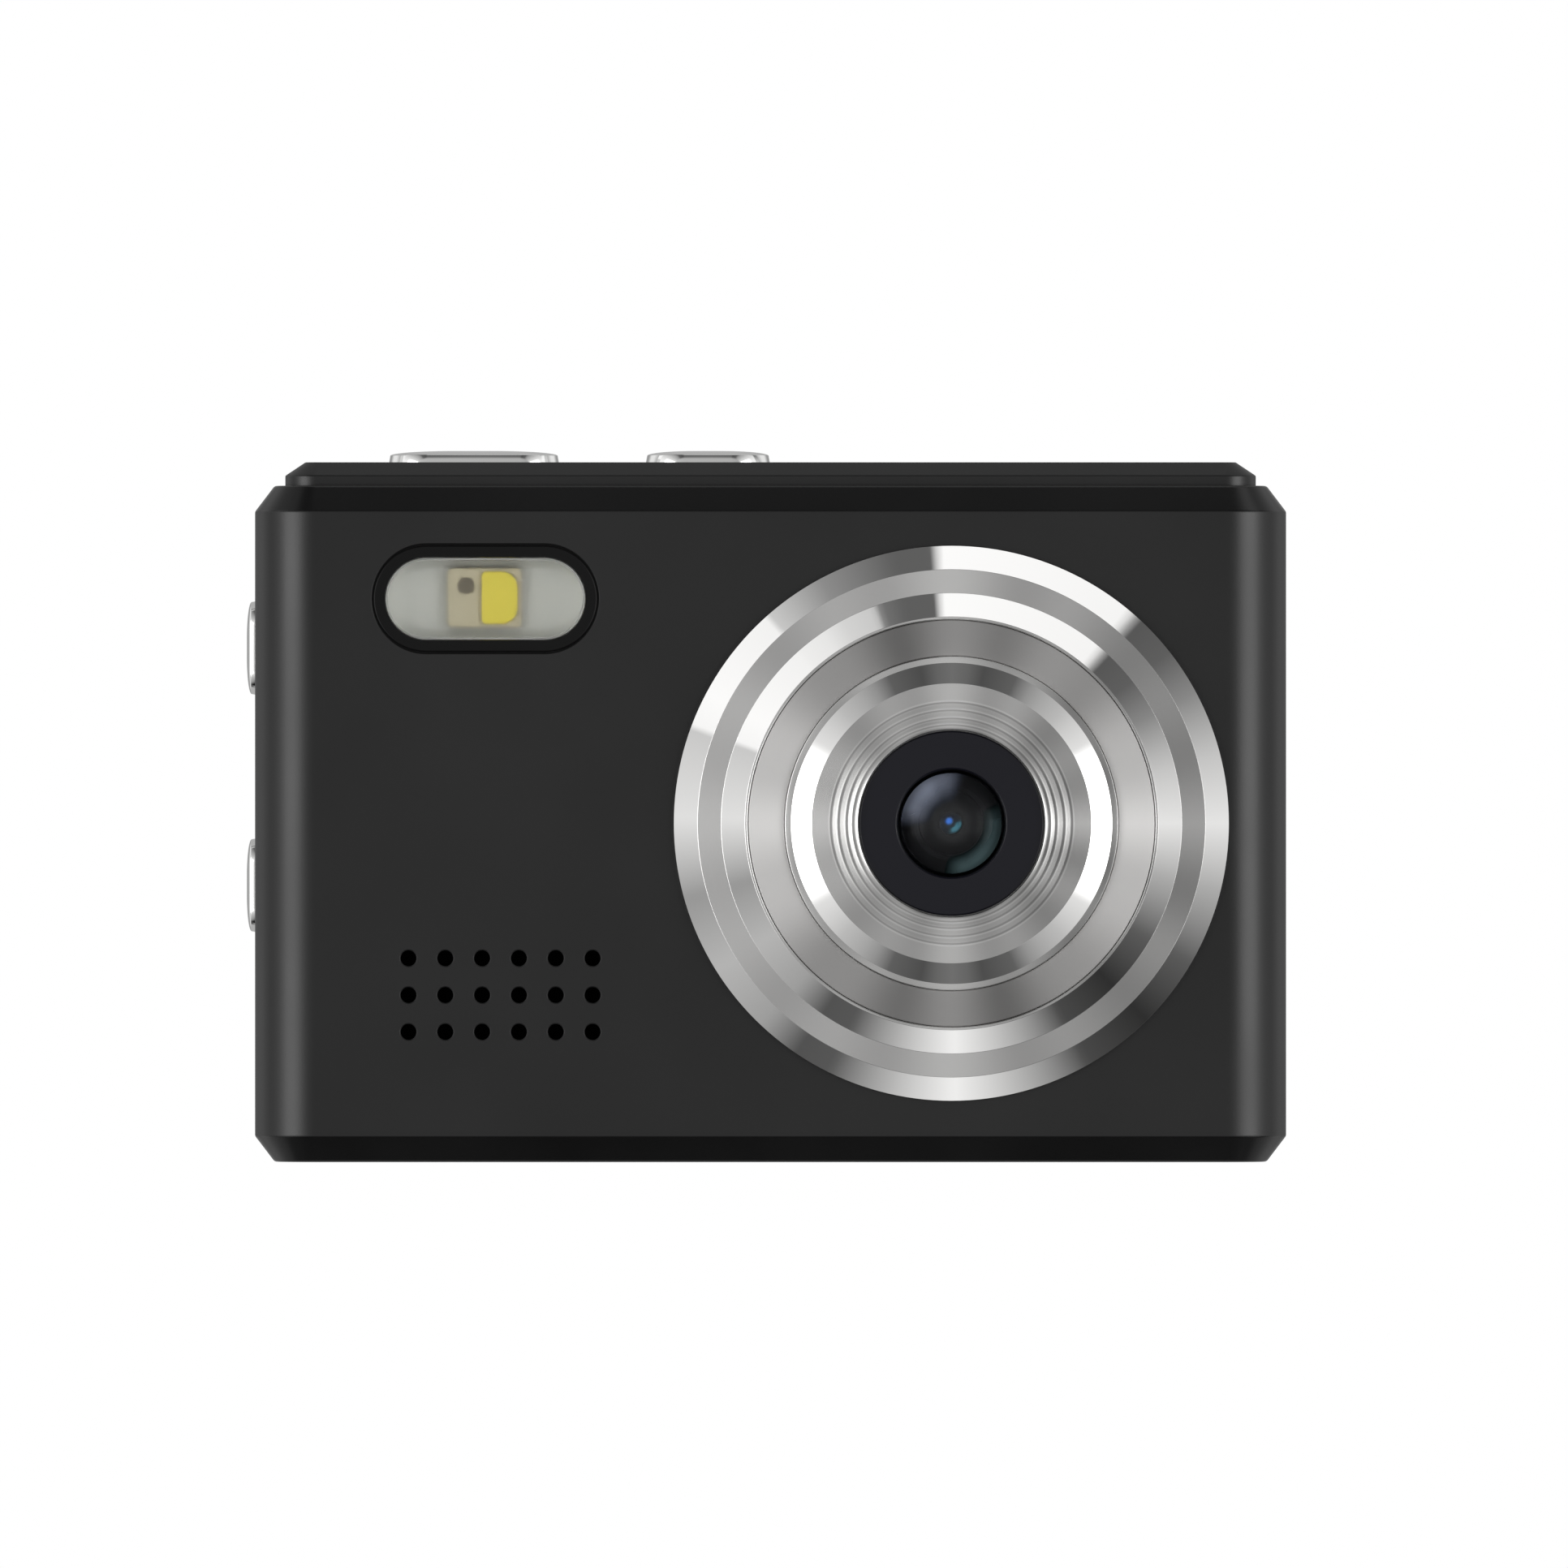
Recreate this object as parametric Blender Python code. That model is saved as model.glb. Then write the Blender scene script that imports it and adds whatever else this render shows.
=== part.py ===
"""A compact digital camera as an assembly of separate parts.

The camera stands on its base. The origin is the middle of the base, +Z is up, the lens looks
along -Y and +X is to the right of somebody who faces the lens. Every size below is in
millimetres, and solid() turns it into metres.
"""

import math

import bmesh
import bpy
from mathutils import Matrix, Vector

MM = 0.001
GAP = 0.1  # between pieces that rest on each other
SLIDE_GAP = 0.2  # round a button or key in its hole

# Case
BODY_WIDTH = 92.0
BODY_DEPTH = 20.0
SHOULDER_HEIGHT = 60.3
CORNER_RADIUS = 5.5
CHAMFER_WIDTH = 1.75
CHAMFER_HEIGHT = 2.3
WALL = 1.6
PARTING_Y = 4.0
PARTING_GAP = 0.15
FRONT_Y = -BODY_DEPTH / 2
REAR_Y = BODY_DEPTH / 2
SIDE_X = BODY_WIDTH / 2
INSIDE_FRONT = FRONT_Y + WALL
INSIDE_REAR = REAR_Y - WALL
INSIDE_X = SIDE_X - WALL

# Top cover, a plate set in from the shoulder with a plug that enters both shells
COVER_INSET = 2.7
COVER_BOTTOM = SHOULDER_HEIGHT + GAP
COVER_EDGE = 61.2
COVER_TOP = 62.4
COVER_CHAMFER = 1.8
COVER_SKIN = 1.2
PLUG_HALF_X = 36.0
PLUG_HALF_Y = 5.2
PLUG_BOTTOM = 58.9
PLUG_WALL = 0.7

# Lens
LENS_X = 16.1
LENS_Z = 30.2
RING_RADIUS = 24.72
LENS_HOLE_RADIUS = 21.0

# Flash window
FLASH_X = -25.4
FLASH_Z = 50.2
FLASH_LONG = 17.65
FLASH_SHORT = 7.16
FLASH_RIM = 1.15

# Loudspeaker grille
GRILLE_X = -24.05
GRILLE_Z = 14.9
GRILLE_PITCH = 3.28
GRILLE_COLUMNS = 6
GRILLE_ROWS = 3
GRILLE_HOLE_RADIUS = 0.7

# Buttons
TOP_BUTTON_DEPTH = 7.0
TOP_BUTTON_TOP = 63.45
SHUTTER_X, SHUTTER_LENGTH = -26.5, 15.2
POWER_X, POWER_LENGTH = -5.6, 11.1
SWITCH_Y = 0.3
SIDE_BUTTON_LENGTH = 8.46
SIDE_BUTTON_DEPTH = 4.4
SIDE_BUTTON_TIP = 0.8
SIDE_BUTTON_Z = {"side_button_upper": 45.85, "side_button_lower": 24.65}

# Rear keys
NAV_X, NAV_Z = -29.5, 29.5
NAV_RADIUS = 9.5
NAV_FLANGE_RADIUS = 10.4
OK_RADIUS = 4.05
KEY_RADIUS = 3.0
KEY_PLACES = {
    "menu_key": (-35.5, 47.5),
    "play_key": (-23.5, 47.5),
    "mode_key": (-35.5, 12.0),
    "delete_key": (-23.5, 12.0),
}
STATUS_X, STATUS_Z = -29.5, 53.5
STATUS_RADIUS = 0.9
KEY_TOP_Y = 10.45
KEY_FLANGE_Y = (7.4, 8.3)

# Screen
SCREEN_X, SCREEN_Z = 11.5, 31.0
WINDOW_WIDTH, WINDOW_HEIGHT = 56.0, 43.0
PANEL_WIDTH, PANEL_HEIGHT = 52.0, 39.5
VIEW_WIDTH, VIEW_HEIGHT = 50.4, 38.0
WINDOW_Y = (8.95, 10.0)
PANEL_Y = (6.0, 8.25)

# Boards
BOARD_Y = (2.1, 3.1)
KEY_BOARD_Y = (4.4, 5.2)

# Battery and its door
BATTERY_BOX = ((-40.0, -5.6, 2.6), (-3.4, 1.95, 44.4))
BATTERY = ((-38.9, -4.8, 4.0), (-4.5, 1.15, 42.3))
DOOR_OPENING = ((-39.9, -5.9), (-3.1, 2.1))
DOOR_EDGE_GAP = 0.2
DOOR_BOTTOM = 0.1
DOOR_TOP = 1.5
HINGE_X, HINGE_Z = -38.0, 1.6
HINGE_KNUCKLE_RADIUS = 1.5
HINGE_PIN_RADIUS = 0.5

# Sockets in the right-hand side
USB_Z, USB_Y = 22.5, 0.4
USB_LENGTH, USB_DEPTH = 8.94, 3.2
CARD_Z, CARD_Y = 38.0, 1.1
CARD_WIDTH, CARD_LENGTH, CARD_THICKNESS = 11.0, 15.0, 0.75
CARD_END_X = 45.6

# Tripod bush, strap bar and screws
BUSH_X, BUSH_Y = LENS_X, -1.3
BUSH_BORE_RADIUS = 3.175
BUSH_RADIUS = 4.4
STRAP_Y, STRAP_Z = 6.3, 14.5
SCREW_SHANK_RADIUS = 0.85
SCREW_HEAD_RADIUS = 1.5
SCREW_LENGTH = 5.4
BASE_SCREW_X, BASE_SCREW_Y = 36.0, 5.9
SIDE_SCREW_Z = 8.5

# How finely round shapes are cut
RING_STEPS = 44
BARREL_STEPS = 24
SMALL_STEPS = 12
CORNER_STEPS = 4
SHARP_ANGLE = math.radians(35)


# ---------------------------------------------------------------- materials


def material(name, colour, roughness, metallic=0.0, transmission=0.0):
    """A Principled material, made once for each name."""
    found = bpy.data.materials.get(name)
    if found:
        return found
    made = bpy.data.materials.new(name)
    made.use_nodes = True
    shader = made.node_tree.nodes["Principled BSDF"]
    shader.inputs["Base Color"].default_value = (*colour, 1.0)
    shader.inputs["Roughness"].default_value = roughness
    shader.inputs["Metallic"].default_value = metallic
    shader.inputs["Transmission Weight"].default_value = transmission
    made.diffuse_color = (*colour, 1.0)
    return made


def case_black():
    return material("case_black", (0.022, 0.022, 0.022), 0.42)


def gloss_black():
    return material("gloss_black", (0.006, 0.006, 0.007), 0.12)


def matt_black():
    return material("matt_black", (0.012, 0.012, 0.012), 0.7)


def chrome():
    return material("chrome", (0.82, 0.82, 0.81), 0.08, 1.0)


def spun_aluminium():
    return material("spun_aluminium", (0.62, 0.62, 0.61), 0.28, 1.0)


def steel():
    return material("steel", (0.55, 0.55, 0.56), 0.35, 1.0)


def brass():
    return material("brass", (0.72, 0.55, 0.26), 0.35, 1.0)


def clear_plastic():
    return material("clear_plastic", (0.93, 0.93, 0.9), 0.12, 0.0, 0.9)


def coated_glass():
    return material("coated_glass", (0.75, 0.82, 0.95), 0.03, 0.0, 0.9)


def board_green():
    return material("board_green", (0.02, 0.12, 0.06), 0.5)


def silicone():
    return material("silicone", (0.55, 0.55, 0.53), 0.65)


def white_plastic():
    return material("white_plastic", (0.72, 0.72, 0.68), 0.45)


# ---------------------------------------------------------------- building blocks


def place(u, v, w, axis):
    """A point from its place (u, v) in a cross-section and its distance w along the axis."""
    return {"X": (w, u, v), "Y": (u, w, v), "Z": (u, v, w)}[axis]


def solid(name, mesh, finish):
    """Turns a bmesh in millimetres into an object in metres, with its faces pointing out."""
    bmesh.ops.recalc_face_normals(mesh, faces=mesh.faces)
    mesh.transform(Matrix.Scale(MM, 4))
    data = bpy.data.meshes.new(name)
    mesh.to_mesh(data)
    mesh.free()
    data.shade_smooth()
    data.set_sharp_from_angle(angle=SHARP_ANGLE)
    data.materials.append(finish)
    made = bpy.data.objects.new(name, data)
    bpy.context.scene.collection.objects.link(made)
    return made


def rounded_outline(width, height, radius, steps=CORNER_STEPS, centre=(0.0, 0.0)):
    """The points of a rectangle with round corners, anticlockwise."""
    points = []
    for corner, (sx, sy) in enumerate(((1, 1), (-1, 1), (-1, -1), (1, -1))):
        middle_x = centre[0] + sx * (width / 2 - radius)
        middle_y = centre[1] + sy * (height / 2 - radius)
        for step in range(steps + 1):
            angle = math.radians(90 * (corner + step / steps))
            points.append((middle_x + radius * math.cos(angle), middle_y + radius * math.sin(angle)))
    return points


def pill_outline(long, short, centre=(0.0, 0.0), upright=False, inset=0.0):
    """A slot shape: two half circles and the straight sides between them."""
    width, height = (short, long) if upright else (long, short)
    radius = short / 2 - inset
    # The radius stays a hair under half the width, so that no two points of it meet.
    return rounded_outline(width - 2 * inset, height - 2 * inset, radius * 0.995, CORNER_STEPS, centre)


def circle_outline(radius, steps, centre=(0.0, 0.0)):
    angles = [2 * math.pi * step / steps for step in range(steps)]
    return [(centre[0] + radius * math.cos(a), centre[1] + radius * math.sin(a)) for a in angles]


def loft(name, sections, axis, finish):
    """A solid through sections, each (distance along the axis, outline), capped at both ends."""
    mesh = bmesh.new()
    rings = []
    for distance, outline in sections:
        corners = [mesh.verts.new(place(u, v, distance, axis)) for u, v in outline]
        pairs = zip(corners, corners[1:] + corners[:1])
        rings.append((corners, [mesh.edges.new(pair) for pair in pairs]))
    for (_, low), (_, high) in zip(rings, rings[1:]):
        bmesh.ops.bridge_loops(mesh, edges=low + high)
    mesh.faces.new(rings[0][0])
    mesh.faces.new(rings[-1][0])
    return solid(name, mesh, finish)


def prism(name, outline, axis, start, end, finish):
    """An outline extruded along an axis."""
    mesh = bmesh.new()
    face = mesh.faces.new([mesh.verts.new(place(u, v, start, axis)) for u, v in outline])
    grown = bmesh.ops.extrude_face_region(mesh, geom=[face])["geom"]
    moved = [item for item in grown if isinstance(item, bmesh.types.BMVert)]
    bmesh.ops.translate(mesh, verts=moved, vec=place(0, 0, end - start, axis))
    return solid(name, mesh, finish)


def block(name, low, high, finish):
    """A box between two corners."""
    mesh = bmesh.new()
    bmesh.ops.create_cube(mesh, size=1.0)
    size = [b - a for a, b in zip(low, high)]
    middle = [(a + b) / 2 for a, b in zip(low, high)]
    mesh.transform(Matrix.Translation(middle) @ Matrix.Diagonal((*size, 1.0)))
    return solid(name, mesh, finish)


def rod(name, radius, axis, start, end, centre, finish, steps=SMALL_STEPS):
    """A round bar along an axis."""
    return prism(name, circle_outline(radius, steps, centre), axis, start, end, finish)


def lathe(name, profile, axis, centre, finish, steps):
    """A closed profile of (radius, distance along the axis) spun about that axis."""
    mesh = bmesh.new()
    origin = Vector(place(centre[0], centre[1], 0, axis))
    direction = Vector(place(0, 0, 1, axis))
    corners = [mesh.verts.new(place(centre[0] + r, centre[1], w, axis)) for r, w in profile]
    closed = min(r for r, _ in profile) > 0
    ends = zip(corners, corners[1:] + corners[:1]) if closed else zip(corners, corners[1:])
    edges = [mesh.edges.new(pair) for pair in ends]
    bmesh.ops.spin(
        mesh, geom=corners + edges, cent=origin, axis=direction, angle=2 * math.pi,
        steps=steps, use_merge=True,
    )
    bmesh.ops.remove_doubles(mesh, verts=mesh.verts, dist=1e-4)
    return solid(name, mesh, finish)


def boolean(target, other, operation):
    """Adds a Boolean modifier and hides the other object."""
    modifier = target.modifiers.new(other.name, "BOOLEAN")
    modifier.operation = operation
    modifier.object = other
    modifier.solver = "EXACT"
    other.hide_render = True
    other.display_type = "WIRE"
    return target


def cut(target, *cutters):
    for cutter in cutters:
        boolean(target, cutter, "DIFFERENCE")
    return target


def join(target, *others):
    for other in others:
        boolean(target, other, "UNION")
    return target


def tool(shape, name, *arguments, **options):
    """A cutter or a lump to join, made by one of the shape functions above."""
    return shape("tool_" + name, *arguments, case_black(), **options)


# ---------------------------------------------------------------- case


def case_section(inset):
    """The case's plan outline, set in from the side walls."""
    return rounded_outline(
        BODY_WIDTH - 2 * inset, BODY_DEPTH - 2 * inset, max(CORNER_RADIUS - inset, 0.8), 6
    )


def case_form(name):
    return loft(
        name,
        [
            (0.0, case_section(CHAMFER_WIDTH)),
            (CHAMFER_HEIGHT, case_section(0.0)),
            (SHOULDER_HEIGHT - CHAMFER_HEIGHT, case_section(0.0)),
            (SHOULDER_HEIGHT, case_section(CHAMFER_WIDTH)),
        ],
        "Z",
        case_black(),
    )


def case_cavity():
    """The hollow inside both shells."""
    edge = CHAMFER_WIDTH + 0.75 * WALL
    low = CHAMFER_HEIGHT + 0.5
    return loft(
        "tool_case_cavity",
        [
            (WALL, case_section(edge)),
            (low, case_section(WALL)),
            (SHOULDER_HEIGHT - low, case_section(WALL)),
            (SHOULDER_HEIGHT - WALL, case_section(edge)),
        ],
        "Z",
        case_black(),
    )


def half_space(name, low_y, high_y):
    reach = BODY_WIDTH
    return tool(block, name, (-reach, low_y, -10), (reach, high_y, reach))


def plug_opening():
    """The opening in the top of both shells that the top cover's plug enters."""
    clear = PLUG_HALF_X + SLIDE_GAP
    deep = PLUG_HALF_Y + SLIDE_GAP
    return tool(block, "plug_opening", (-clear, -deep, 50), (clear, deep, 70))


def grille_places():
    for column in range(GRILLE_COLUMNS):
        for row in range(GRILLE_ROWS):
            x = GRILLE_X + (column - (GRILLE_COLUMNS - 1) / 2) * GRILLE_PITCH
            z = GRILLE_Z + (row - (GRILLE_ROWS - 1) / 2) * GRILLE_PITCH
            yield x, z


def grille_cutter():
    """One mesh with a short bar for each hole of the grille."""
    mesh = bmesh.new()
    for x, z in grille_places():
        turned = Matrix.Translation((x, FRONT_Y, z)) @ Matrix.Rotation(math.radians(90), 4, "X")
        bmesh.ops.create_cone(
            mesh, cap_ends=True, segments=10, radius1=GRILLE_HOLE_RADIUS,
            radius2=GRILLE_HOLE_RADIUS, depth=4 * WALL, matrix=turned,
        )
    return solid("tool_grille", mesh, case_black())


def screw_seat(name, axis, start, direction, centre):
    """A countersunk hole: a cone for the head and a bore for the shank."""
    head = SCREW_HEAD_RADIUS + 0.15
    bore = SCREW_SHANK_RADIUS + 0.15
    profile = [
        (0.0, start - direction), (head, start - direction), (head, start + 0.25 * direction),
        (bore, start + 1.1 * direction), (bore, start + 6.4 * direction), (0.0, start + 6.4 * direction),
    ]
    return tool(lathe, name, profile, axis, centre, steps=SMALL_STEPS)


def front_shell(cavity, opening):
    shell = case_form("front_shell")
    cut(shell, cavity, half_space("behind_parting", PARTING_Y, 40), opening)
    lens_hole = tool(rod, "lens_hole", LENS_HOLE_RADIUS, "Y", -20, -7, (LENS_X, LENS_Z), steps=RING_STEPS)
    flash_hole = tool(
        prism, "flash_hole", pill_outline(FLASH_LONG + 0.3, FLASH_SHORT + 0.3, (FLASH_X, FLASH_Z)),
        "Y", -15, -7,
    )
    flash_seat = tool(
        prism, "flash_seat",
        pill_outline(FLASH_LONG + 2 * FLASH_RIM + 0.2, FLASH_SHORT + 2 * FLASH_RIM + 0.2, (FLASH_X, FLASH_Z)),
        "Y", -15, FRONT_Y + 0.75,
    )
    cut(shell, lens_hole, flash_hole, flash_seat, grille_cutter())
    for name, z in SIDE_BUTTON_Z.items():
        slot = pill_outline(
            SIDE_BUTTON_LENGTH + 2 * SLIDE_GAP, SIDE_BUTTON_DEPTH + 2 * SLIDE_GAP, (SWITCH_Y, z), upright=True
        )
        cut(shell, tool(prism, name + "_hole", slot, "X", -50, -42))
    (x0, y0), (x1, y1) = DOOR_OPENING
    door_hole = tool(block, "door_hole", (x0, y0, -5), (x1, y1, 1.9))
    pin_groove = tool(rod, "pin_groove", HINGE_PIN_RADIUS + 0.15, "Y", y0 - 1.1, y1 + 1.1, (HINGE_X, HINGE_Z))
    bush_hole = tool(rod, "bush_hole", BUSH_RADIUS + 0.15, "Z", -5, 3, (BUSH_X, BUSH_Y), steps=BARREL_STEPS)
    usb_hole = tool(
        prism, "usb_hole",
        pill_outline(USB_LENGTH + 0.5, USB_DEPTH + 0.5, (USB_Y, USB_Z), upright=True), "X", 42, 50,
    )
    card_hole = tool(
        block, "card_hole",
        (42, CARD_Y - 0.9, CARD_Z - CARD_WIDTH / 2 - 0.5), (50, CARD_Y + 0.9, CARD_Z + CARD_WIDTH / 2 + 0.5),
    )
    cut(shell, door_hole, pin_groove, bush_hole, usb_hole, card_hole)
    seats = [("left", -SIDE_X, 1), ("right", SIDE_X, -1)]
    cut(shell, *[screw_seat(f"{side}_seat", "X", x, way, (SWITCH_Y, SIDE_SCREW_Z)) for side, x, way in seats])
    return shell


def strap_pocket_wall():
    """The lump of plastic inside the rear shell that the strap pocket is cut from."""
    wall = tool(block, "strap_wall", (40.6, 4.3, STRAP_Z - 4.2), (45.0, 8.9, STRAP_Z + 4.2))
    within = tool(prism, "strap_wall_limit", case_section(0.4), "Z", STRAP_Z - 6, STRAP_Z + 6)
    boolean(wall, within, "INTERSECT")
    return wall


def rear_shell(cavity, opening):
    shell = case_form("rear_shell")
    cut(shell, cavity, half_space("before_parting", -40, PARTING_Y + PARTING_GAP), opening)
    join(shell, strap_pocket_wall())
    pocket = tool(
        prism, "strap_pocket",
        rounded_outline(3.6, 5.6, 1.0, 4, (STRAP_Y + 0.1, STRAP_Z)), "X", 41.9, 50,
    )
    bar_hole = tool(rod, "strap_bar_hole", 0.75, "Z", STRAP_Z - 3.6, STRAP_Z + 3.6, (44.3, STRAP_Y))
    seat = tool(
        prism, "window_seat",
        rounded_outline(WINDOW_WIDTH + 0.3, WINDOW_HEIGHT + 0.3, 1.65, 4, (SCREEN_X, SCREEN_Z)),
        "Y", WINDOW_Y[0] - GAP, 15,
    )
    view = tool(
        prism, "window_view",
        rounded_outline(VIEW_WIDTH, VIEW_HEIGHT, 0.8, 2, (SCREEN_X, SCREEN_Z)), "Y", 7, 15,
    )
    nav_hole = tool(rod, "nav_hole", NAV_RADIUS + 0.3, "Y", 7, 15, (NAV_X, NAV_Z), steps=BARREL_STEPS)
    status_hole = tool(rod, "status_hole", STATUS_RADIUS + 0.1, "Y", 7, 15, (STATUS_X, STATUS_Z))
    cut(shell, pocket, bar_hole, seat, view, nav_hole, status_hole)
    for name, centre in KEY_PLACES.items():
        cut(shell, tool(rod, name + "_hole", KEY_RADIUS + SLIDE_GAP, "Y", 7, 15, centre, steps=BARREL_STEPS))
    for side in (-1, 1):
        place_xy = (side * BASE_SCREW_X, BASE_SCREW_Y)
        cut(shell, screw_seat(f"base_seat_{side + 1}", "Z", 0.0, 1, place_xy))
    return shell


def top_cover():
    inner = COVER_INSET + COVER_CHAMFER
    cover = loft(
        "top_cover",
        [
            (COVER_BOTTOM, case_section(COVER_INSET)),
            (COVER_EDGE, case_section(COVER_INSET)),
            (COVER_TOP, case_section(inner)),
        ],
        "Z",
        case_black(),
    )
    plug = tool(
        prism, "cover_plug", rounded_outline(2 * PLUG_HALF_X, 2 * PLUG_HALF_Y, 1.0, 2),
        "Z", PLUG_BOTTOM, COVER_BOTTOM + 0.4,
    )
    hollow = tool(
        prism, "cover_hollow",
        rounded_outline(2 * (PLUG_HALF_X - PLUG_WALL), 2 * (PLUG_HALF_Y - PLUG_WALL), 0.6, 2),
        "Z", 50, COVER_TOP - COVER_SKIN,
    )
    join(cover, plug)
    cut(cover, hollow)
    for name, x, length in (("shutter", SHUTTER_X, SHUTTER_LENGTH), ("power", POWER_X, POWER_LENGTH)):
        slot = pill_outline(length + 2 * SLIDE_GAP, TOP_BUTTON_DEPTH + 2 * SLIDE_GAP, (x, 0.0))
        cut(cover, tool(prism, name + "_slot", slot, "Z", 55, 70))
    cut(cover, tool(rod, "microphone_hole", 0.5, "Z", 55, 70, (LENS_X, 0.0), steps=12))
    return cover


# ---------------------------------------------------------------- lens


def forward(profile):
    """Turns (radius, height in front of the case) into (radius, Y)."""
    return [(radius, FRONT_Y - height) for radius, height in profile]


def lens_part(name, profile, finish, steps=RING_STEPS):
    return lathe(name, forward(profile), "Y", (LENS_X, LENS_Z), finish, steps)


def lens_rings():
    lens_part(
        "lens_outer_ring",
        [
            (RING_RADIUS, GAP), (RING_RADIUS, 0.55), (24.5, 0.78), (22.6, 2.7), (20.5, 2.8),
            (18.5, 4.72), (18.2, 4.8), (18.15, 4.6), (18.15, 3.4), (16.0, 3.4), (16.0, -1.9),
            (20.8, -1.9), (20.8, GAP),
        ],
        chrome(),
    )
    lens_part(
        "lens_face_ring",
        [(18.05, 3.5), (18.05, 4.55), (17.9, 4.68), (15.05, 4.68), (14.95, 4.58), (14.95, 3.5)],
        spun_aluminium(),
    )
    lens_part(
        "lens_dish_ring",
        [
            (15.8, 2.3), (15.8, 3.3), (14.82, 3.3), (14.82, 4.7), (14.6, 5.05), (14.3, 5.15),
            (12.45, 4.05), (8.35, 3.1), (8.35, 1.85), (6.9, 1.85), (6.9, 0.2), (13.0, 0.2),
        ],
        spun_aluminium(),
    )
    lens_part(
        "lens_cover_plate",
        [(8.2, 1.95), (8.2, 2.8), (8.1, 2.9), (4.95, 2.9), (4.85, 2.8), (4.85, 1.95)],
        gloss_black(),
        BARREL_STEPS + 8,
    )


def dome(radius, edge_low, edge_high, apex, rings=4):
    """A lens profile: a flat back, a short edge and a rounded front up to the apex."""
    points = [(0.0, edge_low), (radius, edge_low)]
    for step in range(rings):
        angle = math.radians(90 * step / rings)
        points.append((radius * math.cos(angle), edge_high + (apex - edge_high) * math.sin(angle)))
    return points + [(0.0, apex)]


def lens_optics():
    lens_part("lens_front_element", dome(4.45, 0.6, 1.3, 2.6, 5), coated_glass(), BARREL_STEPS)
    lens_part("lens_inner_element", dome(2.85, -2.9, -2.5, -1.9), coated_glass(), BARREL_STEPS)
    lens_part(
        "lens_barrel",
        [
            (4.6, 1.7), (5.95, 1.7), (5.95, -7.8), (1.1, -7.8), (1.1, -3.0), (2.98, -3.0),
            (2.98, -0.6), (3.35, -0.6), (4.3, 0.5), (4.6, 0.5),
        ],
        matt_black(),
        BARREL_STEPS,
    )
    lens_part(
        "lens_holder",
        [
            (6.1, 0.05), (8.6, 0.05), (8.6, -9.95), (11.5, -9.95), (11.5, -11.95), (6.5, -11.95),
            (6.5, -9.8), (4.6, -9.8), (4.6, -8.8), (6.1, -8.8),
        ],
        matt_black(),
        BARREL_STEPS,
    )
    rod("ir_filter", 5.6, "Y", -1.85, -1.35, (LENS_X, LENS_Z), coated_glass(), 24)
    block(
        "image_sensor",
        (LENS_X - 4.2, 0.9, LENS_Z - 3.8), (LENS_X + 4.2, BOARD_Y[0] - GAP, LENS_Z + 3.8),
        matt_black(),
    )


# ---------------------------------------------------------------- flash and loudspeaker


def flash_outline(grow):
    """The flash window's outline, made larger all round."""
    return pill_outline(FLASH_LONG + 2 * grow, FLASH_SHORT + 2 * grow, (FLASH_X, FLASH_Z))


def flash():
    bezel = loft(
        "flash_bezel",
        [
            (FRONT_Y + 0.65, flash_outline(FLASH_RIM)),
            (FRONT_Y + 0.05, flash_outline(FLASH_RIM)),
            (FRONT_Y - 0.05, flash_outline(FLASH_RIM - 0.15)),
        ],
        "Y",
        gloss_black(),
    )
    well = loft(
        "tool_flash_well",
        [(FRONT_Y - 1.0, flash_outline(0.45)), (FRONT_Y + 1.5, flash_outline(0.02))],
        "Y",
        case_black(),
    )
    cut(bezel, well)
    prism("flash_window", flash_outline(-0.12), "Y", FRONT_Y + 0.45, FRONT_Y + 1.5, clear_plastic())
    reflector = prism("flash_reflector", flash_outline(0.8), "Y", -8.25, -5.35, white_plastic())
    bowl = loft(
        "tool_flash_bowl",
        [(-9.0, flash_outline(-0.25)), (-6.0, flash_outline(-0.6))],
        "Y",
        case_black(),
    )
    cut(reflector, bowl)
    led_x, led_z = FLASH_X - 0.1, FLASH_Z + 0.1
    prism("flash_led", rounded_outline(6.6, 5.2, 0.4, 2, (led_x, led_z)), "Y", -7.15, -6.1, white_plastic())
    prism(
        "flash_phosphor", rounded_outline(2.9, 4.6, 0.9, 3, (led_x + 1.5, led_z)), "Y", -7.6, -7.25,
        material("phosphor_yellow", (0.75, 0.68, 0.06), 0.5),
    )
    half_length, half_height = 10, 4.6
    block(
        "flash_board", (FLASH_X - half_length, -5.25, FLASH_Z - half_height),
        (FLASH_X + half_length, -4.45, FLASH_Z + half_height), board_green(),
    )


def loudspeaker():
    centre = (GRILLE_X, GRILLE_Z)
    frame = prism("speaker_frame", rounded_outline(20.5, 12.0, 2.0, 4, centre), "Y", -8.0, -5.75, steel())
    cut(frame, tool(prism, "speaker_well", rounded_outline(18.3, 9.8, 1.6, 4, centre), "Y", -9, -6.7))
    loft(
        "speaker_cone",
        [
            (-6.8, rounded_outline(18.0, 9.5, 1.5, 4, centre)),
            (-7.0, rounded_outline(18.0, 9.5, 1.5, 4, centre)),
            (-7.5, rounded_outline(12.0, 5.6, 1.5, 4, centre)),
        ],
        "Y",
        matt_black(),
    )
    prism("speaker_mesh", rounded_outline(20.0, 11.0, 1.0, 2, centre), "Y", -8.3, -8.1, matt_black())


# ---------------------------------------------------------------- buttons and keys


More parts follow.
